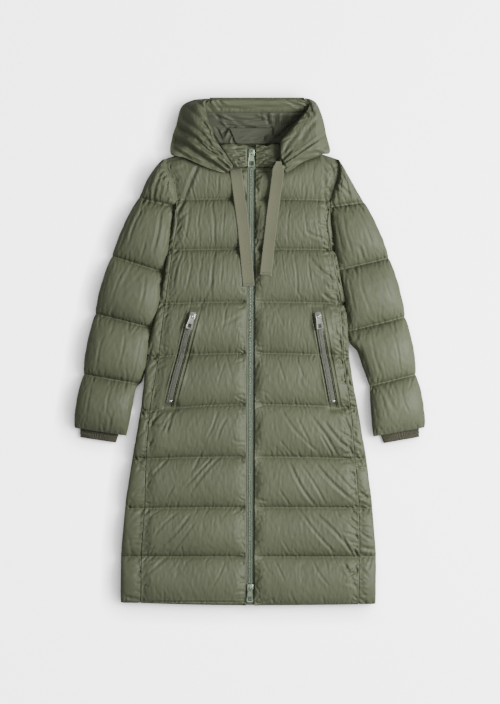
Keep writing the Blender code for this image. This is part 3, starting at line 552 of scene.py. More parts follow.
def cut_collar(side, sizes):
    """The stand beside the top of the zip, on the back's neck."""
    sign = SIGN[side]
    table = [(stand.y, getattr(stand, side), stand.puff) for stand in COLLAR]
    rows = between(table, np.linspace(0, len(COLLAR) - 1, 19))
    share = np.linspace(0, 1, 15)
    grid, held = blank(len(rows), len(share))
    crown = np.interp(share, (0, 0.25, 0.65, 1), (0.75, 1.0, 0.9, 0.55))
    for i, (y, reach, puff) in enumerate(rows):
        inner = zip_x(y) + sign * (ZIP_HALF + SEAM_GAP)
        outer = sign * reach
        grid[i, :, 0] = outer + share * (inner - outer)
        # Two waves of slack along its upper edge.
        slack = 0.0024 * np.sin(grid[i, :, 0] / 0.0088 + 0.8) + 0.0014 * np.sin(grid[i, :, 0] / 0.0037)
        grid[i, :, 1] = y + slack * smooth((y - 0.468) / 0.026)
        grid[i, :, 2] = NECK_TOP + 0.008 + 0.014 * puff * crown
    held[[0, -1]] = True
    held[:, [0, -1]] = True
    low = np.full(grid.shape[:2], NECK_TOP + 0.0004)
    if sign > 0:
        grid = grid[:, ::-1]
    return Cut(grid, grid * (1, 1 + sizes.ease, 1), held, False, low)


# ---- filling ------------------------------------------------------------------------------------
FRAMES = 22
PRESSURE = 40.0
BENDING = 0.05
MOST_TRAVEL = 0.0160
SPARE = 0.004  # cloth to spare in both directions, beside the ease along the seams
UNEVEN = 0.0005  # free points start off the form by about this much
LAP = 0.0022  # a sleeve's side overlaps the body's by this much, and more at the armpit
ARMPIT_LAP = 0.0020
ROLLED = (-0.0040, 0.0120)  # least and most that it is moved in to meet the body
TUCKED = 0.0050  # and its underside, this far beneath the body


def grid_faces(rows, columns, wrap=False):
    """The four-sided faces of a grid of points, whose rows may be closed loops."""
    index = np.arange(rows * columns).reshape(rows, columns)
    across = np.roll(index, -1, axis=1) if wrap else index[:, 1:]
    here = index if wrap else index[:, :-1]
    return np.stack([here[:-1], across[:-1], across[1:], here[1:]], -1).reshape(-1, 4)


def tube_faces(rows, count):
    """The faces of a tube of loops that is closed at both ends."""
    return [*grid_faces(rows, count, True), range(count), range((rows - 1) * count, rows * count)]


def new_mesh(name, points, faces):
    mesh = bpy.data.meshes.new(name)
    points = np.asarray(points, float).reshape(-1, 3).tolist()
    mesh.from_pydata(points, [], [tuple(map(int, f)) for f in faces])
    made = bpy.data.objects.new(name, mesh)
    bpy.context.scene.collection.objects.link(made)
    return made


def filled_faces(cut):
    """A panel's faces, turned so that the side the filling pushes out faces up."""
    rows, columns = cut.held.shape
    faces = grid_faces(rows, columns, cut.wrap)
    free = faces[~cut.held.ravel()[faces].all(axis=1)]
    corners = cut.grid.reshape(-1, 3)[free]
    facing = np.cross(corners[:, 2] - corners[:, 0], corners[:, 3] - corners[:, 1])[:, 2].sum()
    return faces if facing > 0 else faces[:, ::-1]


def meet_sleeve(side):
    """Rolls a sleeve's inner side up against the body wherever they lie together."""
    sign = SIGN[side]
    flank, front, sleeve = (FILLED[f"{part}_{side}"] for part in ("side", "front", "sleeve"))
    ends = [row[np.argmax(sign * row[:, 0])] for row in flank]
    ends += [end for row in front if (end := row[np.argmax(sign * row[:, 0])])[1] > ARMHOLE_Y]
    edge = np.array(sorted((end[1], sign * end[0], end[2]) for end in ends))
    across = sleeve.shape[1]
    for row in sleeve:
        inner = np.argmin(sign * row[:, 0])
        y, reach = row[inner, 1], sign * row[inner, 0]
        touching = float(smooth((y - TOUCHES[side]) / 0.03))
        gap = reach - np.interp(y, edge[:, 0], edge[:, 1]) + LAP
        gap += ARMPIT_LAP * np.exp(-(((y - ARMHOLE_Y) / 0.012) ** 2))
        gap *= touching * float(smooth((TOUCHES_UP - y) / 0.01))
        wide = (sign * row[:, 0]).max() - reach
        share = np.clip(1 - (sign * row[:, 0] - reach) / wide, 0, 1)
        row[:, 0] -= sign * np.clip(gap, *ROLLED) * share**2
        # Round the armhole its top is sewn up to the height of the front's edge.
        sewn_up = smooth((y - ARMHOLE_Y) / 0.02) * smooth((share[:inner] - 0.5) / 0.35)
        lift = np.maximum(0.0, np.interp(y, edge[:, 0], edge[:, 2]) - row[:inner, 2])
        row[:inner, 2] += sewn_up * lift
        # Its underside runs on a little way beneath the body's side.
        beneath = row[inner - 2 : inner + 8] if inner + 8 < across else row[:0]
        beneath[beneath[:, 2] < 0.35 * row[:, 2].max(), 0] -= sign * TUCKED * touching


def vectors(items, field):
    """One vector of each vertex, as rows of numbers."""
    values = np.empty(3 * len(items), np.float32)
    items.foreach_get(field, values)
    return values.reshape(-1, 3)


def fill(cuts):
    """Blows every panel up at once between its seams, and returns where each comes to rest."""
    scene = bpy.context.scene
    made = {}
    noise = np.random.default_rng(7)
    for name, cut in cuts.items():
        start = cut.grid.copy()
        start[..., 2] += np.where(cut.held, 0, noise.normal(0, UNEVEN, cut.held.shape))
        piece = new_mesh("fill_" + name, start, filled_faces(cut))
        sewn = piece.vertex_groups.new(name="sewn")
        sewn.add(np.flatnonzero(cut.held.ravel()).tolist(), 1.0, "REPLACE")
        piece.shape_key_add(name="as sewn")
        rest = piece.shape_key_add(name="as cut")
        rest.data.foreach_set("co", cut.rest.astype(np.float32).ravel())
        cloth = piece.modifiers.new("Cloth", "CLOTH")
        cloth.point_cache.frame_start, cloth.point_cache.frame_end = 1, FRAMES + 1
        cloth.collision_settings.use_collision = False
        fabric = cloth.settings
        fabric.vertex_group_mass = "sewn"
        fabric.effector_weights.gravity = 0
        fabric.use_pressure = True
        fabric.uniform_pressure_force = PRESSURE
        fabric.pressure_factor = 0
        fabric.bending_stiffness = BENDING
        fabric.rest_shape_key = rest
        fabric.shrink_min = -SPARE
        made[name] = piece
    for step in range(1, FRAMES + 1):
        scene.frame_set(step)
    graph = bpy.context.evaluated_depsgraph_get()
    found = {}
    for name, piece in made.items():
        base = cuts[name].grid
        moved = vectors(piece.evaluated_get(graph).data.vertices, "co").reshape(base.shape) - base
        far = np.linalg.norm(moved, axis=-1, keepdims=True)
        if not np.isfinite(far).all():
            raise RuntimeError(f"{name} burst while it was filled")
        moved *= np.minimum(1, MOST_TRAVEL / np.maximum(far, 1e-9))
        found[name] = base + moved
        bpy.data.objects.remove(piece)
    scene.frame_set(1)
    return found


# ---- closing, pressing and finishing ------------------------------------------------------------
Fold = namedtuple("Fold", "x0 y0 x1 y1 width depth bend", defaults=(0,))
PRESS_FLOOR = 0.012  # nothing below this height is pressed
MOST_PRESSED = 0.009


def press(piece, folds):
    """Presses soft troughs into a panel's upper side along lines in mm.

    A negative depth raises a ridge. Each trough has a low lip on both sides and fades at its ends.
    """
    points = vectors(piece.data.vertices, "co").astype(float)
    normals = vectors(piece.data.vertices, "normal")
    up = smooth(normals[:, 2] / 0.5) * smooth((points[:, 2] - PRESS_FLOOR) / 0.008)
    x, y = points[:, 0] * 1000, points[:, 1] * 1000
    lowered = np.zeros(len(points))
    for fold in folds:
        run = np.array((fold.x1 - fold.x0, fold.y1 - fold.y0), float)
        size = np.hypot(*run)
        run /= size
        reach = abs(fold.bend) + 4 * fold.width
        middle = ((fold.x0 + fold.x1) / 2, (fold.y0 + fold.y1) / 2)
        near = np.flatnonzero(np.hypot(x - middle[0], y - middle[1]) < size * 0.62 + reach)
        dx, dy = x[near] - fold.x0, y[near] - fold.y0
        along = (dx * run[0] + dy * run[1]) / size
        off = dx * run[1] - dy * run[0] - fold.bend * np.sin(pi * np.clip(along, 0, 1))
        ends = smooth((along + 0.12) / 0.30) * smooth((1.12 - along) / 0.30)
        line = np.exp(-((off / fold.width) ** 2))
        lips = 0.35 * np.exp(-(((np.abs(off) - 2.1 * fold.width) / (0.9 * fold.width)) ** 2))
        lowered[near] += ends * fold.depth / 1000 * (line - lips)
    points[:, 2] -= up * np.clip(lowered, -MOST_PRESSED, MOST_PRESSED)
    piece.data.vertices.foreach_set("co", points.astype(np.float32).ravel())
    piece.data.update()


def puckers(noise, start, end, run, count, reach, depth=1.0, width=2.0, spread=0.25):
    """Small creases off a seam between two points in mm, where the thread draws the fabric in."""
    made = []
    start, end, run = np.array(start, float), np.array(end, float), np.array(run, float)
    run /= np.hypot(*run)
    for _ in range(count):
        base = start + noise.random() * (end - start)
        size = reach * noise.lognormal(0, 0.55)
        turn = run + noise.normal(0, spread, 2)
        tip = base + turn / np.hypot(*turn) * size
        wide = width * (0.7 + 0.6 * noise.random()) * (1 + 0.012 * size)
        deep = depth * (0.5 + noise.random())
        made.append(Fold(*base, *tip, wide, deep, noise.normal(0, 0.04 * size)))
    return made


def shade_smooth(piece):
    piece.data.polygons.foreach_set("use_smooth", [True] * len(piece.data.polygons))


def apply_modifiers(piece):
    bpy.ops.object.select_all(action="DESELECT")
    bpy.context.view_layer.objects.active = piece
    piece.select_set(True)
    for modifier in list(piece.modifiers):
        bpy.ops.object.modifier_apply(modifier=modifier.name)
    piece.select_set(False)


def face_out(piece):
    work = bmesh.new()
    work.from_mesh(piece.data)
    bmesh.ops.recalc_face_normals(work, faces=work.faces)
    work.to_mesh(piece.data)
    work.free()


def subdivide(piece, sharp=()):
    """One smooth subdivision that keeps the edges between the given points where they are."""
    mesh = piece.data
    if len(sharp):
        flag = np.zeros(len(mesh.vertices), bool)
        flag[np.asarray(sharp)] = True
        ends = np.empty(2 * len(mesh.edges), np.int32)
        mesh.edges.foreach_get("vertices", ends)
        both = flag[ends.reshape(-1, 2)].all(axis=1)
        crease = mesh.attributes.new("crease_edge", "FLOAT", "EDGE")
        crease.data.foreach_set("value", both.astype(np.float32))
    modifier = piece.modifiers.new("Subdivision", "SUBSURF")
    modifier.levels = modifier.render_levels = 1
    apply_modifiers(piece)
    shade_smooth(piece)


def grid_border(rows, columns):
    """The numbers of a grid's points, and those round its border in order."""
    index = np.arange(rows * columns).reshape(rows, columns)
    return index, np.concatenate([index[0], index[1:, -1], index[-1, -2::-1], index[-2:0:-1, 0]])


def sheet_piece(name, top, low):
    """A closed panel: its top grid, a skirt round it and a plain underside at the given heights."""
    rows, columns = top.shape[:2]
    index, border = grid_border(rows, columns)
    under = {v: rows * columns + i for i, v in enumerate(border)}
    points = top.reshape(-1, 3)
    below = points[border].copy()
    below[:, 2] = np.minimum(low.reshape(-1)[border], below[:, 2] - SEAM_GAP)
    faces = list(grid_faces(rows, columns))
    faces += [(b, a, under[a], under[b]) for a, b in zip(border, np.roll(border, -1))]
    # Underneath, one face for each row, and the first and last take in the ends' points.
    faces.append([under[v] for v in (index[1, 0], *index[0], index[1, -1])][::-1])
    for row in range(1, rows - 2):
        corners = (index[row, 0], index[row, -1], index[row + 1, -1], index[row + 1, 0])
        faces.append([under[v] for v in corners][::-1])
    faces.append([under[v] for v in (index[-2, 0], *index[-1], index[-2, -1])])
    piece = new_mesh(name, np.concatenate([points, below]), faces)
    face_out(piece)
    subdivide(piece, border)
    return piece


def tube_piece(name, loops, recess=0.0):
    """A closed tube of loops. With a recess its last loop turns in, as a sleeve's end does."""
    loops = list(loops)
    if recess:
        end, before = loops[-1], loops[-2]
        centre = end.mean(axis=0)
        back = (before - end).mean(axis=0)
        back *= recess / np.linalg.norm(back)
        loops.append(centre + (end - centre) * (0.93, 0.93, 0.80) + back * 0.1)
        loops.append(centre + (end - centre) * (0.90, 0.90, 0.72) + back)
    loops = np.array(loops)
    piece = new_mesh(name, loops, tube_faces(*loops.shape[:2]))
    face_out(piece)
    subdivide(piece)
    return piece


def surface(*pieces):
    """A tree of these pieces' faces, to set others down on."""
    points, faces, start = [], [], 0
    for piece in pieces:
        points += [v.co.copy() for v in piece.data.vertices]
        faces += [[start + i for i in p.vertices] for p in piece.data.polygons]
        start = len(points)
    return BVHTree.FromPolygons(points, faces)


def top_of(tree, x, y):
    """The surface's height at a place seen from above, or None where there is none."""
    hit = tree.ray_cast(Vector((x, y, 1.0)), Vector((0, 0, -1)))
    return hit[0].z if hit[0] else None


def finish(piece, material, nodes, body="coat"):
    """Gives a piece its material and body, and hides the part's nodes that it stands for."""
    piece.data.materials.clear()
    piece.data.materials.append(materials()[material])
    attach(piece, body)
    if nodes:
        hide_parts(*nodes)


# ---- materials ----------------------------------------------------------------------------------
def link(tree, node, links):
    """Feeds a node's sockets: {socket: (node, its output)}."""
    for name, (source, output) in links.items():
        tree.links.new(source.outputs[output], node.inputs[name])


def add(tree, kind, fields=None, values=None, links=None):
    """Adds a node: its fields, its sockets' values, and the node outputs that its sockets take."""
    node = tree.nodes.new("ShaderNode" + kind)
    for name, value in (fields or {}).items():
        setattr(node, name, value)
    for name, value in (values or {}).items():
        node.inputs[name].default_value = value
    link(tree, node, links or {})
    return node


def grain(tree, place, size, detail, **more):
    """Noise with grains of a size in metres."""
    return add(tree, "TexNoise", None, {"Scale": 1 / size, "Detail": detail, **more}, {"Vector": place})


def bands(tree, place, pitch, direction, distortion=0.0):
    """Soft bands a pitch apart. A wave texture repeats 20 times as often as its scale says."""
    values = {"Scale": 2 * pi / 20 / pitch, "Distortion": distortion}
    return add(tree, "TexWave", {"bands_direction": direction}, values, {"Vector": place})


def bump(tree, height, strength, distance, under=None):
    """Relief of a real height in metres, over another's if there is one."""
    links = {"Height": height}
    if under is not None:
        links["Normal"] = under, "Normal"
    return add(tree, "Bump", None, {"Strength": strength, "Distance": distance}, links)


def shades(tree, base, source, *stops):
    """Shades of a colour along a factor: (position, factor) for each."""
    made = add(tree, "ValToRGB", None, None, {"Fac": source})
    for element, (position, factor) in zip(made.color_ramp.elements, stops):
        element.position, element.color = position, tint(base, factor)
    return made


def new_material(name, colour_value, roughness, metallic=0.0, sheen=0.0):
    """A material with its shader, and its tree to add to."""
    made = bpy.data.materials.new(name)
    made.use_nodes = True
    shader = made.node_tree.nodes["Principled BSDF"]
    shader.inputs["Base Color"].default_value = (*colour_value, 1)
    shader.inputs["Roughness"].default_value = roughness
    shader.inputs["Metallic"].default_value = metallic
    shader.inputs["Sheen Weight"].default_value = sheen
    made.diffuse_color = (*colour_value, 1)
    return made, made.node_tree, shader


def tint(base, factor):
    return (*(min(1.0, c * factor) for c in base), 1)


def downproof_nylon(name, base):
    """Plain-woven 20-denier nylon, calendered so that down can't work through.

    The hot rollers leave it smooth: broad soft highlights, and a fine crumple where it was packed.
    """
    made, tree, shader = new_material(name, base, 0.54)
    shader.inputs["Specular IOR Level"].default_value = 0.14
    place = add(tree, "TexCoord"), "Object"
    # Crumples 6 mm across, dents 25 mm across, and shade drifting over 120 mm.
    crumple = grain(tree, place, 0.006, 3.0, Roughness=0.55, Distortion=0.6)
    dents = grain(tree, place, 0.025, 2.0)
    drift = grain(tree, place, 0.12, 1.0)
    # Threads 0.1 mm apart can't show, so the weave is drawn at 0.7 mm.
    warp, weft = (bands(tree, place, 0.0007, direction, 0.4) for direction in "XY")
    weave = add(tree, "Math", {"operation": "MULTIPLY"}, None, {0: (warp, "Fac"), 1: (weft, "Fac")})
    woven = bump(tree, (weave, "Value"), 0.25, 0.00005)
    crumpled = bump(tree, (crumple, "Fac"), 0.24, 0.0004, woven)
    dented = bump(tree, (dents, "Fac"), 0.2, 0.0006, crumpled)
    shade = shades(tree, base, (drift, "Fac"), (0.35, 0.93), (0.65, 1.06))
    gloss = add(tree, "MapRange", None, {"To Min": 0.50, "To Max": 0.60}, {"Value": (dents, "Fac")})
    link(tree, shader, {"Base Color": (shade, "Color"), "Normal": (dented, "Normal")})
    link(tree, shader, {"Roughness": (gloss, "Result")})
    return made


def woven_twill(name, base, pitch):
    """Polyester twill tape: a matt cloth whose ribs run slantwise across it."""
    made, tree, shader = new_material(name, base, 0.8, sheen=0.25)
    place = add(tree, "UVMap", {"uv_map": "along"}), "UV"
    turn = add(tree, "Mapping", None, {"Rotation": (0, 0, radians(45))}, {"Vector": place})
    ribs = bands(tree, (turn, "Vector"), pitch, "X", 0.3)
    fuzz = grain(tree, place, 0.002, 4.0)
    height = add(tree, "Math", {"operation": "ADD"}, None, {0: (ribs, "Fac"), 1: (fuzz, "Fac")})
    relief = bump(tree, (height, "Value"), 0.6, 0.0003)
    # Painted shade: the furrows between the ribs are coloured darker than the ribs.
    shade = shades(tree, base, (ribs, "Fac"), (0.0, 0.86), (1.0, 1.08))
    link(tree, shader, {"Base Color": (shade, "Color"), "Normal": (relief, "Normal")})
    return made


def rib_knit(name, base):
    """Two-by-two rib in wool and elastane: matt, hairy cords that run down the cuff."""
    made, tree, shader = new_material(name, base, 0.95, sheen=0.15)
    place = add(tree, "UVMap", {"uv_map": "along"}), "UV"
    # A cord and its furrow take 3.4 mm round the cuff, and the stitches along it 1.6 mm.
    cords = bands(tree, place, CORD_PITCH, "X", 0.5)
    courses = bands(tree, place, 0.0016, "Y", 1.0)
    fuzz = grain(tree, place, 0.0008, 4.0)
    height = (cords, "Fac")
    for source, share in (((courses, "Fac"), 0.25), ((fuzz, "Fac"), 0.3)):
        links = {0: source, 2: height}
        height = add(tree, "Math", {"operation": "MULTIPLY_ADD"}, {1: share}, links), "Value"
    relief = bump(tree, height, 0.9, 0.0008)
    # Painted shade: the furrows between the cords are coloured darker than the cords.
    shade = shades(tree, base, (cords, "Fac"), (0.0, 0.55), (1.0, 1.1))
    link(tree, shader, {"Base Color": (shade, "Color"), "Normal": (relief, "Normal")})
    return made


def spun_thread(name, base):
    """Core-spun polyester thread: matt, with plies that wind round it."""
    made, tree, shader = new_material(name, base, 0.7)
    place = add(tree, "TexCoord"), "Object"
    # The plies' 0.4 mm twist is drawn at 0.8 mm.
    plies = bands(tree, place, 0.0008, "DIAGONAL")
    link(tree, shader, {"Normal": (bump(tree, (plies, "Fac"), 0.5, 0.0001), "Normal")})
    return made


def plated_metal(name, base, roughness, metallic):
    """Die-cast zinc under a thin plating or lacquer: soft-edged gloss, a little handled."""
    made, tree, shader = new_material(name, base, roughness, metallic)
    place = add(tree, "TexCoord"), "Object"
    wear = grain(tree, place, 0.0015, 4.0)
    values = {"To Min": roughness - 0.06, "To Max": roughness + 0.12}
    gloss = add(tree, "MapRange", None, values, {"Value": (wear, "Fac")})
    relief = bump(tree, (wear, "Fac"), 0.2, 0.00008)
    link(tree, shader, {"Roughness": (gloss, "Result"), "Normal": (relief, "Normal")})
    return made


MATERIALS = {}


def materials():
    """The coat's materials, made once from the chosen colours."""
    if not MATERIALS:
        c = bpy.context.scene.coat_colours
        MATERIALS["shell"] = downproof_nylon("downproof_nylon", tuple(c.shell))
        MATERIALS["lining"] = downproof_nylon("lining_nylon", tuple(c.lining))
        MATERIALS["rib"] = rib_knit("rib_knit_wool", tuple(c.rib))
        MATERIALS["tape"] = woven_twill("woven_zip_tape", tuple(c.tape), 0.0011)
        MATERIALS["coil"] = woven_twill("pocket_coil_tape", tuple(c.coil), 0.0013)
        MATERIALS["strap"] = woven_twill("polyester_twill_tape", tuple(c.strap), 0.0016)
        MATERIALS["teeth"] = plated_metal("lacquered_zinc", tuple(c.teeth), 0.38, 0.6)
        MATERIALS["tinted"] = plated_metal("tinted_zinc", tint(tuple(c.teeth), 1.5)[:3], 0.30, 1.0)
        MATERIALS["thread"] = spun_thread("polyester_thread", tint(tuple(c.shell), 0.3)[:3])
        MATERIALS["silver"] = plated_metal("nickel_plated_zinc", tuple(c.silver), 0.30, 1.0)
    return MATERIALS


# ---- creases, in mm -----------------------------------------------------------------------------
def folds(*marks):
    """Folds from their ends, width, depth and, if they bow out, bend."""
    return [Fold(*mark) for mark in marks]


CREASES = {
    "front_left": folds(
        (77, -139, 125, -205, 3.0, 1.6, 4), (125, -205, 155, -235, 2.6, 1.4),
        (113, -157, 143, -217, 2.6, 1.4), (149, -157, 209, -247, 3.2, 2.6, -3),
        (179, -169, 245, -241, 3.4, 2.8, 3), (167, -193, 197, -247, 2.4, 1.6),
        (71, -211, 101, -247, 2.2, 1.2), (95, -265, 155, -367, 3.2, 2.6, 5),
        (119, -265, 179, -361, 2.6, 1.8, -3), (155, -265, 245, -355, 3.4, 2.8, 4),
        (71, -331, 95, -367, 2.4, 1.4), (191, -271, 251, -337, 2.6, 1.8),
        (119, -379, 203, -481, 2.8, 2.0, 4), (155, -385, 245, -481, 3.4, 2.8, -4),
        (203, -385, 257, -427, 2.6, 1.8), (215, -427, 245, -487, 2.4, 1.6),
        (77, -451, 95, -481, 2.2, 1.2), (225, -505, 252, -560, 3.0, 2.0),
        (60, -500, 82, -545, 2.4, 1.2), (150, -500, 190, -560, 2.6, 1.2, 4),
        (178, 415, 187, 332, 4.0, 1.3, 3), (150, 418, 156, 372, 2.4, 0.8),
        (122, 420, 124, 375, 2.2, 0.7), (95, 352, 90, 262, 2.4, 0.8, 3),
        (128, 355, 136, 285, 2.4, 0.7), (160, 350, 172, 262, 3.0, 1.0, 3),
        (75, 235, 84, 160, 2.2, 0.7), (104, 238, 112, 130, 2.6, 0.9, -4),
        (140, 236, 152, 140, 2.4, 0.9, 4), (176, 238, 196, 150, 3.0, 1.3, -3),
        (60, 112, 82, 60, 2.2, 0.7), (150, 112, 176, 40, 2.4, 0.8),
        (196, -20, 214, -60, 2.6, 1.6), (110, -8, 128, -60, 2.2, 0.9),
        (66, -14, 84, -70, 2.2, 0.9), (202, 70, 212, 20, 2.6, 1.6),
    ),
    "front_right": folds(
        (-125, 445, -157, 365, 4.0, 4.0, 2), (-157, 365, -174, 331, 3.6, 3.4),
        (-98, 442, -104, 372, 2.6, 0.8), (-74, 430, -77, 374, 2.4, 0.8),
        (-92, 360, -86, 252, 3.0, 1.4, -3), (-60, 352, -66, 270, 2.4, 0.8),
        (-118, 352, -124, 272, 2.4, 0.8, 3), (-145, 350, -158, 262, 3.0, 1.2, -3),
        (-84, 240, -93, 128, 3.0, 1.4, 3), (-64, 238, -70, 165, 2.2, 0.8),
        (-112, 238, -122, 150, 2.6, 0.9, 3), (-140, 236, -156, 140, 2.6, 0.9, -4),
        (-166, 232, -184, 150, 3.0, 1.3, 3), (-90, 173, -104, 135, 3.4, 1.4),
        (-104, 135, -128, 91, 3.4, 1.6, 2), (-56, 110, -66, 52, 2.2, 0.7),
        (-78, 108, -92, 40, 2.2, 0.7), (-150, 108, -170, 50, 2.6, 1.0),
        (-211, -187, -187, -145, 3.0, 2.0), (-103, -205, -79, -145, 2.6, 1.6, 3),
        (-79, -211, -55, -157, 2.6, 1.6, -3), (-229, -163, -205, -139, 2.6, 1.6),
        (-212, -138, -236, -176, 3.2, 2.2), (-183, -139, -200, -194, 3.2, 2.2),
        (-157, -325, -97, -259, 2.2, 2.4), (-199, -349, -181, -319, 2.4, 1.4),
        (-139, -331, -67, -247, 3.0, 2.2, -4), (-229, -289, -199, -259, 2.8, 1.6),
        (-217, -469, -145, -391, 3.2, 2.6, 4), (-187, -481, -133, -409, 2.6, 1.6),
        (-253, -403, -217, -379, 2.6, 1.6), (-229, -439, -175, -385, 2.6, 1.6, -3),
        (-245, -530, -199, -493, 2.8, 1.8), (-223, -505, -187, -481, 2.4, 1.4),
        (-90, -560, -60, -500, 2.4, 1.2, 3), (-60, -20, -76, -70, 2.2, 0.9),
        (-258, -598, -16, -599, 1.8, 3.0),
    ),
    "sleeve_right": folds(
        (-212, 430, -232, 360, 3.4, 2.2, 4), (-232, 424, -252, 366, 3.0, 1.6),
        (-196, 438, -204, 372, 3.0, 2.0, -3), (-250, 352, -290, 262, 3.2, 1.8, 5),
        (-214, 340, -232, 240, 3.4, 2.4, -4), (-192, 330, -205, 250, 3.0, 2.0),
        (-280, 330, -312, 250, 2.8, 1.4), (-250, 262, -262, 222, 2.6, 1.4),
        (-300, 200, -330, 120, 3.0, 1.1, 4), (-250, 190, -266, 100, 3.0, 1.1, -4),
        (-222, 180, -232, 100, 2.6, 1.0), (-340, 190, -356, 120, 2.6, 0.8),
        (-350, 40, -366, -30, 3.0, 1.1, 3), (-300, 40, -316, -40, 2.6, 1.0, -3),
        (-262, 30, -276, -40, 2.6, 1.0), (-330, -76, -344, -150, 2.8, 1.0, 3),
        (-380, -80, -392, -150, 2.6, 0.8), (-294, -96, -300, -160, 2.6, 1.0),
    ),
    "sleeve_left": folds(
        (218, 430, 240, 360, 3.4, 1.8, -4), (238, 424, 262, 352, 3.0, 1.4),
        (206, 420, 214, 350, 3.0, 1.8, 3), (252, 345, 292, 250, 3.0, 1.0, -5),
        (222, 335, 246, 230, 3.2, 1.1, 4), (204, 322, 222, 240, 3.0, 1.2),
        (276, 320, 314, 244, 2.6, 0.7), (262, 190, 286, 100, 3.0, 0.8, 4),
        (308, 196, 338, 120, 2.8, 0.8, -4), (236, 176, 250, 96, 2.8, 1.0),
        (290, 40, 312, -50, 2.8, 0.8, 4), (336, 60, 356, -20, 2.8, 0.8, -3),
        (262, 20, 282, -50, 2.8, 1.0), (312, -96, 330, -160, 2.8, 0.8),
        (360, -84, 382, -150, 2.6, 0.7, 3), (296, -110, 306, -170, 2.6, 0.7),
    ),
    "hood_right": folds(
        (-190, 511, -137, 482, 6.0, 7.0), (-145, 486, -83, 444, 6.0, 8.0),
        (-88, 448, -53, 427, 4.5, 6.0), (-178, 541, -120, 499, 6.0, 7.0),
        (-128, 504, -86, 474, 5.5, 7.0), (-90, 477, -50, 441, 4.5, 6.0),
        (-168, 566, -118, 522, 5.0, 3.6), (-120, 524, -92, 492, 4.4, 4.4),
        (-152, 590, -112, 548, 5.0, 3.6), (-112, 548, -96, 520, 3.6, 4.0),
        (-126, 603, -104, 566, 4.0, 3.4), (-186, 490, -120, 452, 4.5, 3.4, 4),
        (-134, 462, -84, 436, 3.6, 3.4), (-110, 488, -72, 452, 3.4, 4.2),
        (-100, 500, -66, 468, 3.2, 4.2), (-80, 462, -48, 434, 3.0, 4.4),
        (-112, 584, -100, 566, 2.6, 2.6), (-114, 560, -96, 548, 2.6, 2.8),
        (-108, 540, -88, 530, 2.6, 2.8), (-106, 526, -85, 516, 2.4, 2.8),
        (-98, 512, -78, 500, 2.4, 2.8), (-90, 498, -70, 486, 2.4, 2.8),
        (-74, 474, -54, 460, 2.4, 3.0), (-62, 458, -42, 442, 2.4, 3.0),
        (-160, 520, -120, 490, 7.0, -2.6), (-150, 496, -96, 462, 6.0, -3.0),
        (-96, 486, -40, 462, 1.9, 3.4, 2), (-92, 477, -36, 455, 1.8, 3.2, 2),
        (-84, 493, -46, 471, 1.8, 2.8), (-78, 468, -38, 449, 1.8, 3.2),
        (-106, 470, -50, 439, 2.2, 3.8, -2), (-112, 502, -90, 481, 2.0, 3.0),
        (-99, 522, -86, 502, 2.0, 3.0), (-105, 543, -94, 522, 1.9, 2.8),
        (-196, 474, -128, 440, 3.4, 3.0, 3), (-184, 528, -150, 512, 3.2, 3.0),
    ),
    "hood_left": folds(
        (75, 447, 108, 468, 2.6, 3.4), (104, 465, 170, 512, 2.6, 3.6),
        (166, 509, 188, 522, 2.6, 3.4), (80, 436, 128, 460, 3.6, 3.4, -3),
        (96, 436, 150, 466, 3.0, 2.0), (72, 452, 98, 480, 3.0, 3.4),
        (80, 470, 112, 520, 4.0, 1.8, -4), (120, 500, 168, 560, 5.0, 2.0, -5),
        (160, 470, 186, 496, 4.0, 2.0), (140, 596, 158, 572, 4.0, 4.4),
        (150, 602, 168, 560, 3.4, 3.0), (130, 590, 148, 574, 3.4, 4.0),
        (124, 578, 140, 560, 3.0, 3.4), (96, 540, 118, 548, 2.6, 2.0),
        (104, 552, 128, 560, 2.6, 2.0), (76, 500, 96, 512, 2.4, 1.6),
        (110, 556, 150, 540, 3.4, 1.2), (134, 470, 176, 480, 3.0, 1.6),
        (58, 438, 67, 462, 2.2, 4.0), (84, 440, 71, 463, 2.2, 4.0),
        (116, 600, 132, 578, 3.0, 4.4), (134, 604, 152, 566, 2.8, 3.6),
        (106, 580, 124, 566, 2.4, 3.4), (98, 566, 112, 556, 2.2, 2.8),
    ),
    "collar_right": folds(
        (-58, 489, -30, 486, 2.5, 2.2, 2), (-36, 480, -13, 478, 2.3, 3.6, 1),
        (-52, 474, -34, 477, 2.1, 2.9), (-28, 470, -12, 472, 2.0, 3.6),
        (-44, 463, -24, 460, 2.1, 3.1, 1), (-22, 462, -12, 464, 1.8, 3.4),
        (-38, 454, -12, 452, 2.1, 3.6, -1), (-28, 446, -12, 448, 1.7, 2.9),
    ),
    "collar_left": folds(
        (30, 489, 62, 486, 2.5, 2.2, -2), (14, 483, 34, 480, 2.1, 3.1),
        (16, 474, 30, 475, 2.0, 3.6), (34, 472, 58, 466, 2.5, 3.4, 2),
        (15, 465, 38, 463, 2.1, 3.1, 1), (16, 456, 34, 457, 2.0, 3.6),
        (36, 455, 60, 449, 2.3, 3.4), (16, 448, 40, 446, 1.8, 3.1, -1),
    ),
}  # fmt: skip


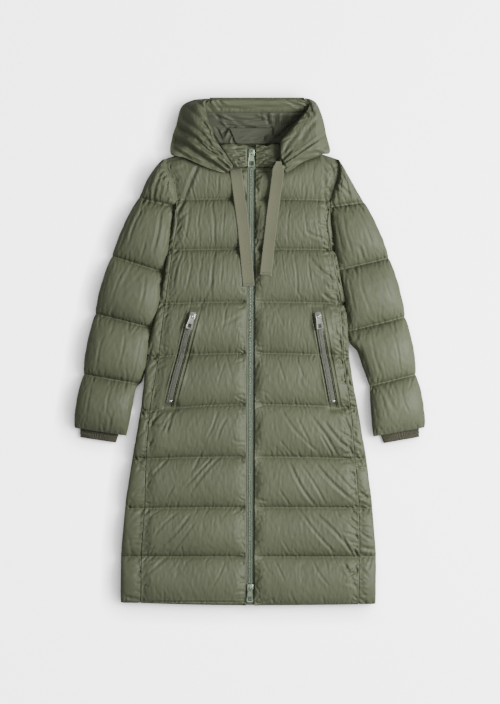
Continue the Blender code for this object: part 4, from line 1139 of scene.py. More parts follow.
def front_puckers(side):
    """Puckers off a front's quilt seams, its zip and its side seam."""
    sign = SIGN[side]
    noise = np.random.default_rng({"right": 21, "left": 22}[side])
    by_side = {"right": (13, 12, 1.5), "left": (17, 18, 2.4)}[side]
    made = []
    for k in range(9):
        # On the chest, from the sixth seam up, they are fewer, longer and more upright.
        reach, count, slant = (17, 22, 0.10) if k >= 5 else (14, 26, 0.45)
        lean = sign * slant
        x = [sign * 16, 1000 * side_x(k, 0.0, side)[0] - sign * 4]
        y = [1000 * float(seam_y(k, v / 1000)) for v in x]
        start, end = zip(x, y)
        made += puckers(noise, start, end, (-lean, 1), count, reach, 0.6, 1.7)
        if k:
            made += puckers(noise, start, end, (lean, -1), count, reach, 0.6, 1.7)
        zip_top = (sign * 15, 1000 * float(row_y(k, 1.0, 0.0)))
        made += puckers(noise, (sign * 13, y[0]), zip_top, (sign, 0.1), 15, 12, 1.7, 1.8, 0.45)
        side_top = [1000 * v for v in side_x(k, 1.0, side)]
        side_top[0] -= sign * 4
        made += puckers(noise, end, side_top, (-sign, 0.5), *by_side, 2.0, 0.4)
    return made


def side_puckers(side):
    """Puckers off a side panel's front seam, which crumple it most lower down."""
    sign = SIGN[side]
    noise = np.random.default_rng({"right": 23, "left": 24}[side])
    by_side = {"right": (16, 14, 1.8), "left": (18, 18, 2.8)}[side]
    made = []
    for k in range(8):
        low, high = side_x(k, 0.0, side), side_x(k, 1.0, side)
        start = (1000 * low[0] + sign * 2, 1000 * low[1])
        end = (1000 * high[0] + sign * 2, 1000 * min(high[1], ARMHOLE_Y))
        made += puckers(noise, start, end, (sign, -0.5), *by_side, 2.0, 0.35)
        made += puckers(noise, start, (start[0] + sign * 36, start[1]), (0, 1), 8, 12, 1.4, 1.8, 0.3)
        made += puckers(noise, end, (end[0] + sign * 30, end[1]), (0, -1), 8, 14, 1.4, 1.8, 0.3)
    return made


def sleeve_puckers(side):
    """Puckers off a sleeve's quilt seams, up and down the arm."""
    noise = np.random.default_rng({"right": 25, "left": 26}[side])
    made = []
    arms = [arm_ends(arm) for arm in SLEEVES[side]]
    for i, (outer, inner) in enumerate(arms):
        start, end = 1000 * outer, 1000 * inner
        down = np.array((0.1, -1))
        if i < len(arms) - 1:
            after = arms[i + 1]
            down = after[0] + after[1] - outer - inner
            made += puckers(noise, start, end, down, 24, 18, 0.9, 2.0)
        made += puckers(noise, start, end, -down, 24, 16, 0.9, 2.0)
    tip = [1000 * v for v in SHOULDER_TIPS[side]]
    made += puckers(noise, tip, 1000 * arms[0][1], (SIGN[side], -0.8), 18, 18, 1.4, 2.0)
    return made


def collar_puckers(side):
    """Puckers off the zip and the neck seam, which draw the collar into uneven ruffles."""
    sign = SIGN[side]
    noise = np.random.default_rng({"right": 27, "left": 28}[side])
    made = puckers(noise, (sign * 13, 447), (sign * 13, 492), (sign, 0.1), 12, 18, 2.0, 1.8, 0.3)
    return made + puckers(noise, (sign * 18, 446), (sign * 60, 446), (sign, 0.6), 9, 14, 2.0, 1.8, 0.5)


# ---- stage --------------------------------------------------------------------------------------
CAMERA_HEIGHT = 6.0
VIEW_HEIGHT = 704 * 0.0024  # metres that the camera takes in from hem to hood


def make_stage():
    """A pale floor, a broad soft light from the upper right and a camera straight above."""
    place = (0, 0, -0.0005)
    bpy.ops.mesh.primitive_grid_add(x_subdivisions=2, y_subdivisions=2, size=40, location=place)
    floor = bpy.context.object
    floor.name = "floor"
    floor.data.transform(floor.matrix_world)
    floor.matrix_world = Matrix.Identity(4)
    paper, tree, shader = new_material("matt_paper", linear("#b8b8b8"), 0.9)
    shader.inputs["Specular IOR Level"].default_value = 0.2
    shader.inputs["Emission Color"].default_value = (1, 1, 1, 1)
    # The backdrop glows for the camera alone: bright to the eye, it throws little light back up on
    # the coat. Its glow is dimmed into a painted soft shadow wherever the coat stands between it and
    # the window.
    seen = add(tree, "LightPath"), "Is Camera Ray"
    towards = add(tree, "CombineXYZ", None, {"X": 0.75, "Y": 0.30, "Z": 0.59}), "Vector"
    clear = add(tree, "AmbientOcclusion", {"samples": 8}, {"Distance": 0.055}, {"Normal": towards}), "AO"
    shade = add(tree, "Math", {"operation": "POWER"}, {1: 2.8}, {0: clear}), "Value"
    glow = add(tree, "Math", {"operation": "MULTIPLY"}, None, {0: shade, 1: seen}), "Value"
    lit = add(tree, "Math", {"operation": "MULTIPLY"}, {1: 3.4}, {0: glow}), "Value"
    link(tree, shader, {"Emission Strength": lit})
    floor.data.materials.append(paper)
    for name, place, size, power in (
        ("window", (1.70, 0.15, 1.75), 1.2, 190.0),
        ("bounce", (-0.3, -0.3, 4.2), 2.6, 46.0),
    ):
        data = bpy.data.lights.new(name, "AREA")
        data.size, data.energy = size, power
        lamp = bpy.data.objects.new(name, data)
        lamp.location = place
        lamp.rotation_euler = (-Vector(place)).to_track_quat("-Z", "Y").to_euler()
        bpy.context.scene.collection.objects.link(lamp)
    world = bpy.context.scene.world or bpy.data.worlds.new("room")
    bpy.context.scene.world = world
    world.use_nodes = True
    sky = world.node_tree.nodes["Background"]
    sky.inputs["Color"].default_value = (1, 1, 1, 1)
    sky.inputs["Strength"].default_value = 0.48
    data = bpy.data.cameras.new("overhead")
    data.lens = 36 * CAMERA_HEIGHT / VIEW_HEIGHT
    camera = bpy.data.objects.new("overhead", data)
    camera.location = (0.0, 0.0, CAMERA_HEIGHT + 0.02)
    bpy.context.scene.collection.objects.link(camera)
    bpy.context.scene.camera = camera


# ---- flat strips: drawstrings, tapes and welts ---------------------------------------------------
def strip(name, route, across, profile):
    """A closed strip along a route of points, whose section is (share across, height) points.

    They go over the strip and then back under it.
    """
    up = Vector((0, 0, 1))
    loops = [[tuple(p + a * s + up * h) for s, h in profile] for p, a in zip(route, across)]
    loops = np.array(loops)
    rows, count = loops.shape[:2]
    piece = new_mesh(name, loops, tube_faces(rows, count))
    face_out(piece)
    run = run_along(loops.mean(axis=1))
    wide = np.tile([s for s, _ in profile], rows) * max(a.length for a in across)
    map_along(piece, wide, np.repeat(run, count))
    return piece


def run_along(points):
    """How far along a line of points each of them is."""
    return np.concatenate([[0], np.cumsum(np.linalg.norm(np.diff(points, axis=0), axis=1))])


def map_along(piece, across, along):
    """A UV map in metres, across the piece and along it."""
    layer = piece.data.uv_layers.new(name="along")
    index = np.empty(len(piece.data.loops), np.int32)
    piece.data.loops.foreach_get("vertex_index", index)
    both = np.stack([np.asarray(across)[index], np.asarray(along)[index]], -1)
    layer.data.foreach_set("uv", both.astype(np.float32).ravel())


def strap_route(side, tree, width):
    """The middle of a drawstring as it lies on the chest, a point every 8 mm."""
    knots = [Vector((*knot, 0)) for knot in STRAPS[side]]
    route = []
    for a, b in zip(knots, knots[1:]):
        steps = max(1, round((a - b).length / 0.008))
        route += [a.lerp(b, i / steps) for i in range(steps)]
    route.append(knots[-1])
    heights = []
    for point in route:
        under = [
            top_of(tree, point.x + s * width / 2, point.y + dy) or 0.0
            for s in (-1.05, -0.7, -0.35, 0, 0.35, 0.7, 1.05)
            for dy in (-0.004, 0, 0.004)
        ]
        heights.append(max(under) + 0.0006)
    heights = np.array(heights)
    for _ in range(60):
        eased = heights.copy()
        eased[1:-1] = (heights[:-2] + heights[2:]) / 2 - 0.0002
        heights = np.maximum(heights, eased)
    return [Vector((p.x, p.y, z)) for p, z in zip(route, heights)]


HEM = 0.0085
HEM_RISE = 0.0007
# Half a tape's section: share across, and share of its thickness. Its selvedge is slightly fuller.
SELVEDGE = ((0.80, 0.9), (0.88, 1.05), (0.97, 1.0), (1.0, 0.3))


def make_drawstrings():
    sizes = bpy.context.scene.coat_sizes
    tree = surface(PIECES["front_right"], PIECES["front_left"], PIECES["hood_left"])
    half = sizes.strap_width / 2
    profile = [(-s, h * STRAP_THICK) for s, h in SELVEDGE[::-1]] + [(0, 0.9 * STRAP_THICK)]
    profile += [(s, h * STRAP_THICK) for s, h in SELVEDGE] + [(0.97, 0), (0, 0), (-0.97, 0)]
    for side in SIGN:
        route = strap_route(side, tree, sizes.strap_width)
        across = []
        for i in range(len(route)):
            run = route[min(i + 1, len(route) - 1)] - route[max(i - 1, 0)]
            # The left one is gathered where it leaves its slit.
            open_out = float(smooth((route[i] - route[0]).length / 0.022))
            drawn = 1.0 if side == "right" else 0.42 + 0.58 * open_out
            across.append(Vector((-run.y, run.x, 0)).normalized() * -half * drawn)
        name = f"drawstring_tape_{side}"
        piece = strip(name, route, across, profile)
        # Its end is turned back on itself and sewn.
        for v in piece.data.vertices:
            if (v.co - route[-1]).dot((route[-2] - route[-1]).normalized()) < HEM:
                v.co.z += HEM_RISE
        shade_smooth(piece)
        PIECES[f"drawstring_{side}"] = piece, route, across
        finish(piece, "strap", [f"drawstring_{side}"])


# ---- the coat's panels ---------------------------------------------------------------------------
PIECES = {}


def fill_panels():
    sizes = bpy.context.scene.coat_sizes
    for side in SIGN:
        CUTS[f"front_{side}"] = cut_front(side, sizes)
        CUTS[f"side_{side}"] = cut_side(side, sizes)
        CUTS[f"sleeve_{side}"] = cut_sleeve(side, sizes)
        CUTS[f"hood_{side}"] = cut_hood_side(side, sizes)
        CUTS[f"collar_{side}"] = cut_collar(side, sizes)
    FILLED.update(fill(CUTS))
    for side in SIGN:
        meet_sleeve(side)


def make_fronts():
    for side in SIGN:
        name = f"front_{side}"
        piece = sheet_piece(f"{name}_panel", FILLED[name], CUTS[name].low)
        press(piece, CREASES[name] + front_puckers(side))
        seat_pocket(piece, side)
        press(piece, pocket_edges(side))
        finish(piece, "shell", [name])
        PIECES[name] = piece


def make_sides():
    for side in SIGN:
        name = f"side_{side}"
        top = FILLED[name]
        # Its wall under the front's side seam, with a support just below the top edge.
        loops = np.concatenate([top, top[:, [0, 0]]], axis=1)
        loops[:, -2, 2] = CUTS[name].low[:, 0]
        loops[:, -1, 2] -= 0.0008
        piece = tube_piece(f"{name}_panel", loops)
        press(piece, side_puckers(side))
        finish(piece, "shell", [name])


def make_sleeves():
    for side in SIGN:
        name = f"sleeve_{side}"
        piece = tube_piece(f"{name}_panel", FILLED[name], recess=0.014)
        press(piece, CREASES[name] + sleeve_puckers(side))
        finish(piece, "shell", [name])


def make_hood_sides():
    for side in SIGN:
        name = f"hood_{side}"
        piece = tube_piece(f"{name}_panel", FILLED[name])
        press(piece, CREASES[name])
        finish(piece, "shell", [name])
        PIECES[name] = piece


def make_collars():
    for side in SIGN:
        name = f"collar_{side}"
        piece = sheet_piece(f"{name}_stand", FILLED[name], CUTS[name].low)
        press(piece, CREASES[name] + collar_puckers(side))
        finish(piece, "shell", [name])


# ---- the back and the inside of the hood ---------------------------------------------------------
def make_back():
    """The back lies on the ground: flat where its baffles rest, lifted at its seams."""
    rows = baffle_rows(range(10), 0.011)
    columns = 65
    noise = np.random.default_rng(11)
    top = np.zeros((len(rows) + 1, columns, 3))
    bottom = np.zeros_like(top)
    # Pleats run up from the seams, each a smoothed draw between one seam's and the next's.
    lean = noise.normal(0, 1, (12, columns))
    lean = (lean + np.roll(lean, 1, 1) + np.roll(lean, -1, 1)) / 3
    for i, (k, t) in enumerate(rows):
        x = np.linspace(side_x(k, t, "right")[0], side_x(k, t, "left")[0], columns)
        y = row_y(k, t, x)
        puff = float(puffed(t)) if k < 9 else 0.4
        near = (1 - puff) ** 1.5
        pleat = (lean[k] * (1 - t) + lean[k + 1] * t) * 0.0022 * (4 * puff * (1 - puff) + 0.15)
        floor = np.maximum(0.0, GROOVE * near + np.abs(pleat) * (puff < 0.97))
        top[i] = np.stack([x, y, np.full_like(x, meet_z(k, t) - 0.0002)], -1)
        bottom[i] = np.stack([x, y, floor], -1)
    x = top[-2, :, 0]
    top[-1] = np.stack([x, on_line(NECK_LINE, x), np.full_like(x, NECK_TOP - 0.002)], -1)
    bottom[-1] = np.stack([x, on_line(NECK_LINE, x), np.full_like(x, 0.003)], -1)
    piece = slab_piece("back_panel", top, bottom)
    finish(piece, "shell", ["back"])


def slab_piece(name, top, bottom):
    """A closed piece between two grids of points."""
    rows, columns = top.shape[:2]
    count = rows * columns
    border = grid_border(rows, columns)[1]
    over = grid_faces(rows, columns)
    faces = [*over, *(over[:, ::-1] + count)]
    faces += [(b, a, a + count, b + count) for a, b in zip(border, np.roll(border, -1))]
    piece = new_mesh(name, np.concatenate([top.reshape(-1, 3), bottom.reshape(-1, 3)]), faces)
    face_out(piece)
    shade_smooth(piece)
    return piece


def floor_grid(low, high, shares, step, lift, wave):
    """A layer over the hood's crown between two heights on the coat. wave(share, y) adds its folds."""
    ys = np.arange(low, high + step / 2, step)
    floor = np.array(HOOD_FLOOR)
    grid = blank(len(ys), len(shares))[0]
    for i, y in enumerate(ys):
        ends = []
        for side, sign in SIGN.items():
            rim = [(row.rim_y, row.rim_x) for row in HOODS[side]]
            ends.append(np.interp(y, *zip(*rim)) - sign * RIM_GAP)
        grid[i, :, 0] = ends[0] + shares * (ends[1] - ends[0])
        grid[i, :, 1] = y
        grid[i, :, 2] = np.interp(y, floor[:, 0], floor[:, 2]) + lift + wave(shares, y)
    return grid


def folds_of(marks):
    """Folds given as (share, y in mm, run, rise, width, height): soft ridges, or troughs below zero."""

    def wave(shares, y):
        found = np.zeros_like(shares)
        for share, at, run, rise, width, height in marks:
            dx, dy = (shares - share) * 180, y * 1000 - at
            size = np.hypot(run, rise)
            along = (dx * run + dy * rise) / size
            off = (dx * rise - dy * run) / size
            found += height / 1000 * np.exp(-((off / width) ** 2)) * np.exp(-((along / (size / 2)) ** 4))
        return found

    return wave


# Folds of the facing under the crown's edge, of the lining and of the neck facing.
FACING_FOLDS = (
    (0.50, 592, 90, 1, 5.0, 2.6), (0.25, 583, 60, -3, 3.0, -2.2), (0.80, 588, 50, 6, 3.0, -2.6),
    (0.88, 596, 26, -14, 2.6, 4.2), (0.93, 588, 22, -16, 2.4, -4.4), (0.82, 600, 20, -9, 2.2, -3.8),
    (0.90, 602, 24, -10, 2.0, -3.4), (0.85, 592, 24, -12, 1.9, -3.0), (0.78, 595, 22, -9, 2.0, 2.4),
    (0.96, 596, 10, -18, 2.0, -3.6), (0.86, 584, 18, -10, 1.8, 2.6), (0.95, 580, 10, -14, 1.8, 3.0),
    (0.08, 592, 14, -22, 2.4, 3.8), (0.13, 584, 12, -16, 2.0, -3.2), (0.05, 582, 10, -16, 2.0, -3.4),
    (0.14, 598, 10, -16, 1.9, -2.8), (0.20, 594, 14, -12, 2.0, 2.0), (0.10, 602, 12, -12, 1.8, 2.6),
    (0.36, 597, 40, 2, 2.4, -1.6), (0.58, 586, 46, -2, 2.6, -1.7), (0.66, 598, 30, 4, 2.2, 1.6),
    (0.42, 585, 30, 3, 2.0, 1.5), (0.30, 589, 24, -4, 1.8, 1.5), (0.72, 586, 24, 5, 1.8, 1.7),
    (0.16, 577, 3, 9, 1.3, 2.0), (0.19, 577, -2, 8, 1.1, -1.6), (0.22, 578, 2, 9, 1.2, -1.9),
    (0.25, 577, 3, 9, 1.1, 1.7), (0.29, 577, 3, 8, 1.2, 1.8), (0.33, 578, -2, 9, 1.1, -1.7),
    (0.37, 578, -2, 8, 1.2, -1.8), (0.41, 577, 2, 8, 1.1, 1.5), (0.45, 577, 2, 8, 1.3, 1.7),
    (0.54, 578, 3, 8, 1.2, -1.7), (0.58, 577, -2, 8, 1.1, 1.6), (0.61, 577, -3, 9, 1.3, 1.9),
    (0.65, 578, 2, 9, 1.1, -1.7), (0.69, 578, 2, 9, 1.2, -1.9), (0.77, 577, -3, 9, 1.3, 1.9),
)  # fmt: skip
LINING_FOLDS = (
    (0.22, 560, 30, -18, 3.0, 5.1), (0.30, 552, 34, -10, 3.0, -4.8), (0.17, 548, 16, -22, 2.8, 4.8),
    (0.12, 562, 12, -20, 2.4, -3.9), (0.40, 562, 40, -4, 3.4, 3.6), (0.52, 558, 36, 3, 3.0, -3.9),
    (0.60, 563, 26, -12, 2.6, 4.2), (0.66, 556, 14, -20, 2.2, -4.5), (0.70, 560, 12, -22, 2.2, 4.5),
    (0.74, 554, 12, -22, 2.0, -4.2), (0.78, 560, 12, -22, 2.2, 4.5), (0.83, 554, 10, -22, 2.0, -3.9),
    (0.87, 560, 10, -22, 2.0, 3.6), (0.35, 541, 30, 2, 2.0, 3.3), (0.48, 540, 30, -2, 2.0, -3.6),
    (0.62, 541, 30, 3, 2.2, 3.3), (0.25, 534, 18, 14, 2.6, -4.5), (0.20, 526, 14, 20, 2.6, 4.2),
    (0.76, 534, 14, -18, 2.6, -4.2), (0.82, 526, 12, -20, 2.6, 3.9), (0.30, 519, 10, 22, 2.2, -3.0),
    (0.70, 519, 10, -22, 2.2, -3.0), (0.24, 510, 10, 18, 2.4, 3.0), (0.78, 510, 10, -18, 2.4, 3.0),
    (0.33, 542, 72, -4, 2.6, -4.4), (0.34, 548, 60, -6, 2.6, 2.6), (0.17, 532, 14, 10, 3.0, -5.0),
    (0.09, 524, 10, -26, 2.6, -5.0), (0.05, 514, 10, -22, 2.2, 4.0), (0.92, 530, 16, 34, 3.0, -4.0),
    (0.66, 566, 10, -24, 2.2, 3.6), (0.56, 568, 12, -22, 2.0, -3.0), (0.90, 560, 12, -20, 2.2, 3.4),
)  # fmt: skip
NECK_FOLDS = (
    (0.46, 528, 26, 3, 2.4, 1.2), (0.56, 521, 26, -4, 2.2, -1.0), (0.40, 514, 18, 6, 2.2, 1.0),
    (0.60, 512, 20, 4, 2.2, -1.0), (0.50, 506, 26, 0, 2.0, 1.0),
)  # fmt: skip
FACING_THICK = 0.0016


FACED_AT = 0.5735  # the facing's lower edge is stitched to the lining here
# Name, node, reach up the coat, reach across the opening, lift, folds, and material.
CLOTHS = (
    ("hood_facing_band", "hood_facing", (FACED_AT, 0.6068), (0.0, 1.0), 0.0012, FACING_FOLDS, "shell"),
    ("hood_lining_cloth", "hood_lining", (0.5000, FACED_AT), (0.0, 1.0), 0.0008, LINING_FOLDS, "lining"),
    ("neck_facing_patch", "neck_facing", (0.5000, 0.5370), (0.27, 0.71), 0.0046, NECK_FOLDS, "lining"),
)


def make_hood_inside():
    for name, node, (low, high), (first, last), lift, marks, material in CLOTHS:
        shares = np.linspace(first, last, round(90 * (last - first)) + 1)
        top = floor_grid(low, high, shares, 0.0018, lift + FACING_THICK, folds_of(marks))
        middle = top[..., 0].mean(axis=1, keepdims=True)
        if node == "neck_facing":
            taper = 1 + 0.22 * (top[..., 1] - 0.5185) / 0.0185
            top[..., 0] = middle + (top[..., 0] - middle) * taper
        # The facing's stitched edge and the lining's draw down together.
        top[..., 2] -= 0.0022 * smooth(1 - np.abs(top[..., 1] - FACED_AT) / 0.0045)
        if node == "hood_facing":
            # Its top edge rolls over, and its ends draw in there.
            edge = smooth((top[..., 1] - 0.590) / 0.0168)
            top[..., 2] -= 0.006 * edge**4
            top[..., 0] -= 0.10 * edge * (top[..., 0] - middle) * (np.abs(shares - 0.5) > 0.45)
        piece = slab_piece(name, top, top - (0, 0, FACING_THICK))
        finish(piece, material, [node])


def make_hood_crown():
    """The hood's padded crown, that the opening shows the inside of."""

    def under_cloths(_, y):
        return -0.0048 * smooth((0.596 - y) / 0.010)

    top = floor_grid(0.4966, 0.6079, np.linspace(0, 1, 40), 0.0040, -0.0006, under_cloths)
    floor = np.array(HOOD_FLOOR)
    bottom = top.copy()
    bottom[..., 2] = np.interp(top[..., 1], floor[:, 0], floor[:, 1])
    piece = slab_piece("hood_crown_panel", top, bottom)
    finish(piece, "shell", ["hood_back"])


# ---- cuffs ---------------------------------------------------------------------------------------
CORD_PITCH = 0.0034
CORD_RISE = 0.00045
CUFF_SHOWS = 0.0200
CUFF_INSIDE = 0.006


def make_cuffs():
    """Flattened rib-knit tubes whose cords run down to a rolled edge."""
    for side in SIGN:
        outer, inner = arm_ends(SLEEVES[side][-1])
        across = (inner - outer) / np.linalg.norm(inner - outer)
        down = np.array((across[1], -across[0])) * (1 if across[0] > 0 else -1)
        loops, around = [], 432
        turn = np.linspace(0, TAU, around, endpoint=False)
        # How far down each loop is, and its share of the cuff's fullness: out to the edge and back in.
        steps = [(d, 1.0) for d in np.linspace(-CUFF_INSIDE, CUFF_SHOWS - 0.001, 14)]
        steps += [(CUFF_SHOWS, 0.90), (CUFF_SHOWS - 0.0004, 0.70), (CUFF_SHOWS - 0.003, 0.58)]
        steps += [(-0.004, 0.56)]
        for d, wall in steps:
            inset = 0.012 + 0.003 * max(0.0, d) / CUFF_SHOWS
            start, end = outer + across * inset + down * d, inner - across * (inset + 0.010) + down * d
            middle, half = (start + end) / 2, np.linalg.norm(end - start) / 2
            c, s = np.cos(turn), np.sin(turn)
            arc = np.cumsum(np.hypot(half * s, CUFF_THICK / 2 * c)) * (turn[1] - turn[0])
            cords = round(arc[-1] / CORD_PITCH)
            rib = CORD_RISE * np.cos(TAU * cords * arc / arc[-1]) * (wall == 1.0)
            wide = (half + rib - (1 - wall) * 0.006) * np.sign(c) * np.abs(c) ** 0.75
            high = (CUFF_THICK / 2 * wall + rib - 0.0005) * np.sign(s) * np.abs(s) ** 0.6
            loop = np.zeros((around, 3))
            loop[:, :2] = middle + wide[:, None] * across
            loop[:, 2] = CUFF_THICK / 2 + high
            loops.append(loop)
        piece = new_mesh(f"cuff_rib_{side}", loops, tube_faces(len(loops), around))
        face_out(piece)
        map_along(piece, np.tile(arc, len(loops)), np.repeat([d for d, _ in steps], around))
        shade_smooth(piece)
        finish(piece, "rib", [f"cuff_{side}"])


# ---- shaping hard pieces --------------------------------------------------------------------------
def block(name, size, place=(0, 0, 0)):
    """A block to shape further, with nothing else selected."""
    bpy.ops.object.select_all(action="DESELECT")
    bpy.ops.mesh.primitive_cube_add(size=1, location=place, scale=size)
    made = bpy.context.object
    made.name = name
    bpy.ops.object.transform_apply(location=True, rotation=False, scale=True)
    return made


def edit(step, **options):
    """Runs one edit mode operator on the active piece's selection."""
    bpy.ops.object.mode_set(mode="EDIT")
    step(**options)
    bpy.ops.object.mode_set(mode="OBJECT")


def shaped(made, widths):
    """Cuts a block across at each height y and scales its width there: [(y, share)]."""
    ends = [v.co.y for v in made.data.vertices]
    for y, _ in widths:
        if min(ends) + 1e-6 < y < max(ends) - 1e-6:
            bpy.ops.object.mode_set(mode="EDIT")
            bpy.ops.mesh.select_all(action="SELECT")
            bpy.ops.mesh.bisect(plane_co=(0, y, 0), plane_no=(0, 1, 0))
            bpy.ops.object.mode_set(mode="OBJECT")
    for y, share in widths:
        pick(made, "vertices", lambda v: abs(v.co.y - y) < 1e-6)
        edit(bpy.ops.transform.resize, value=(share, 1, 1), center_override=(0, y, 0))


def pick(made, kind, test):
    """Selects the vertices or the polygons that pass a test, and no others."""
    bpy.context.view_layer.objects.active = made
    bpy.ops.object.mode_set(mode="EDIT")
    bpy.ops.mesh.select_mode(type="VERT" if kind == "vertices" else "FACE")
    bpy.ops.mesh.select_all(action="DESELECT")
    bpy.ops.object.mode_set(mode="OBJECT")
    for item in getattr(made.data, kind):
        item.select = bool(test(item))


def inset(made, test, thickness, depth):
    """Insets the faces that pass a test and moves them in or out."""
    pick(made, "polygons", test)
    edit(bpy.ops.mesh.inset, thickness=thickness, depth=depth, use_even_offset=True)


def round_edges(made, width, segments=2):
    modifier = made.modifiers.new("Bevel", "BEVEL")
    modifier.width, modifier.segments = width, segments
    modifier.limit_method, modifier.angle_limit = "ANGLE", radians(35)
    apply_modifiers(made)


def pierce(made, size, place):
    """Cuts a round-cornered hole through a piece."""
    cutter = block("hole", size, place)
    round_edges(cutter, 0.0007, 3)
    modifier = made.modifiers.new("Hole", "BOOLEAN")
    modifier.operation, modifier.object = "DIFFERENCE", cutter
    apply_modifiers(made)
    bpy.data.objects.remove(cutter)


def smooth_by_angle(made):
    bpy.ops.object.select_all(action="DESELECT")
    bpy.context.view_layer.objects.active = made
    made.select_set(True)
    bpy.ops.object.shade_smooth_by_angle(angle=radians(32))


def copies(name, model, places):
    """One piece made of a small model's copies, one at each matrix."""
    points = np.array([(*v.co, 1.0) for v in model.data.vertices])
    faces = [tuple(p.vertices) for p in model.data.polygons]
    placed = np.concatenate([(points @ np.array(place).T)[:, :3] for place in places])
    count = len(points)
    all_faces = [tuple(v + i * count for v in face) for i in range(len(places)) for face in faces]
    bpy.data.objects.remove(model)
    return new_mesh(name, placed, all_faces)


def turned(across, up, place):
    """A matrix with its X along one direction, its Z near another, at a place."""
    x = Vector(across).normalized()
    y = Vector(up).cross(x).normalized()
    made = Matrix((x, y, x.cross(y))).transposed().to_4x4()
    made.translation = place
    return made


# ---- sliders and pull tabs ------------------------------------------------------------------------
SLIDER_FIELDS = "width length height bail_half bail_width pull_length pull_top pull_bottom tilt"
Slider = namedtuple("Slider", SLIDER_FIELDS)
SLIDERS = {
    "top": Slider(0.0160, 0.0220, 0.0050, 0.0048, 0.0024, 0.0330, 0.0110, 0.0180, 4),
    "bottom": Slider(0.0160, 0.0200, 0.0050, 0.0048, 0.0024, 0.0330, 0.0110, 0.0160, 4),
    "pocket": Slider(0.0150, 0.0230, 0.0045, 0.0048, 0.0024, 0.0320, 0.0110, 0.0165, 3),
}
PULL_THICK = 0.0018
EYE = 0.0018  # the bar of a pull tab that turns in the bail
EYE_RISE = 0.0020
WINDOW = (0.60, 0.32)  # shares of a pull tab's width and length


def hinge_frame(body, node):
    """The frame of a pull tab at rest: X along its hinge, Y up the tab and Z out of it."""
    joint = next(j for j in frame["joints"] if j["child"] == body)
    points = np.array([v.co for v in frame["nodes"][node].data.vertices])
    normal = np.linalg.svd(points - points.mean(axis=0))[2][2]
    return turned(-Vector(joint["axis"]), Vector(normal * np.sign(normal[2])), Vector(joint["pos_m"]))


def slider_body(name, kind):
    """A die-cast slider: two shoulders that narrow to the tail, open flanks and a cast bail."""
    end, top = kind.length / 2, kind.height
    made = block(name, (kind.width, kind.length, top), (0, 0, top / 2))
    shaped(made, [(-end, 0.55), (-0.7 * end, 0.8), (0.2 * end, 1.0), (0.8 * end, 0.9), (end, 0.5)])

    def on_top(f):
        return f.normal.z > 0.9 and f.center.z > top - 1e-4

    def in_middle(f):
        return on_top(f) and abs(f.center.x) < 0.3 * kind.width and abs(f.center.y) < 0.62 * end

    # Its flanks are open between two plates, and its top has a raised bed for the bail.
    inset(made, lambda f: abs(f.normal.x) > 0.75, 0.0011, -0.0012)
    inset(made, on_top, 0.0018, 0.0)
    inset(made, in_middle, 0.0006, 0.0005)
    round_edges(made, 0.00045)
    # The bail is half a ring of oval wire over the top.
    base = Vector((0, -(kind.bail_half - 0.0008), top - 0.0003))
    radius = kind.bail_width / 2
    bpy.ops.object.select_all(action="DESELECT")
    bpy.ops.mesh.primitive_circle_add(vertices=12, radius=radius, fill_type="NGON", location=base)
    bail = bpy.context.object
    bpy.ops.object.transform_apply(location=True)
    bpy.ops.object.mode_set(mode="EDIT")
    bpy.ops.mesh.select_all(action="SELECT")
    bpy.ops.transform.resize(value=(1, 0.58, 1), center_override=base)
    bpy.ops.mesh.spin(steps=12, angle=pi, center=(0, 0, base.z), axis=(1, 0, 0))
    bpy.ops.mesh.select_all(action="SELECT")
    bpy.ops.mesh.remove_doubles(threshold=1e-6)
    bpy.ops.transform.resize(value=(1, 1, 1.08), center_override=(0, 0, base.z))
    bpy.ops.mesh.normals_make_consistent(inside=False)
    bpy.ops.object.mode_set(mode="OBJECT")
    if max(v.co.z for v in bail.data.vertices) < base.z + 0.002:
        raise RuntimeError("the bail was spun into the slider")
    bail.select_set(True)
    made.select_set(True)
    bpy.context.view_layer.objects.active = made
    bpy.ops.object.join()
    return made


def pull_tab(name, kind):
    """A tapered tab with a raised rim, the eye that turns in the bail, and a window at its end."""
    low, end = kind.pull_bottom / 2, -kind.pull_length
    head = kind.pull_top / 2
    made = block(name, (2 * low, kind.pull_length + EYE / 2, PULL_THICK), (0, (end + EYE / 2) / 2, 0))
    widths = [(end, (low - 0.003) / low), (end + 0.0008, (low - 0.0008) / low), (end + 0.003, 1.0)]
    widths += [(0.0, head / low), (EYE / 2, (head - 0.001) / low)]
    shaped(made, widths)
    inset(made, lambda f: f.normal.z > 0.9, 0.0011, -0.0004)
    round_edges(made, 0.00035)
    eye = kind.bail_half + 0.0032
    slot = eye - EYE / 2
    pierce(made, (0.0050, slot, 0.01), (0, -EYE / 2 - slot / 2, 0))
    window = (kind.pull_bottom * WINDOW[0], kind.pull_length * WINDOW[1])
    pierce(made, (*window, 0.01), (0, end + 0.0032 + window[1] / 2, 0))
    return made


def make_slider(kind_name, slider, pull, body, metal, slot):
    kind = SLIDERS[kind_name]
    place = hinge_frame(body, pull)
    tab = pull_tab(f"{pull}_tab", kind)
    tab.data.transform(place)
    drop = Matrix.Translation((0, 0, -kind.height - EYE_RISE))
    cast = slider_body(f"{slider}_body", kind)
    cast.data.transform(place @ Matrix.Rotation(-radians(kind.tilt), 4, "X") @ drop)
    for piece, node, owner in ((cast, slider, "coat"), (tab, pull, body)):
        smooth_by_angle(piece)
        finish(piece, metal, [node], owner)


# ---- the front zip --------------------------------------------------------------------------------
TAPE_THICK = 0.0012
CHAIN_THICK = 0.0030
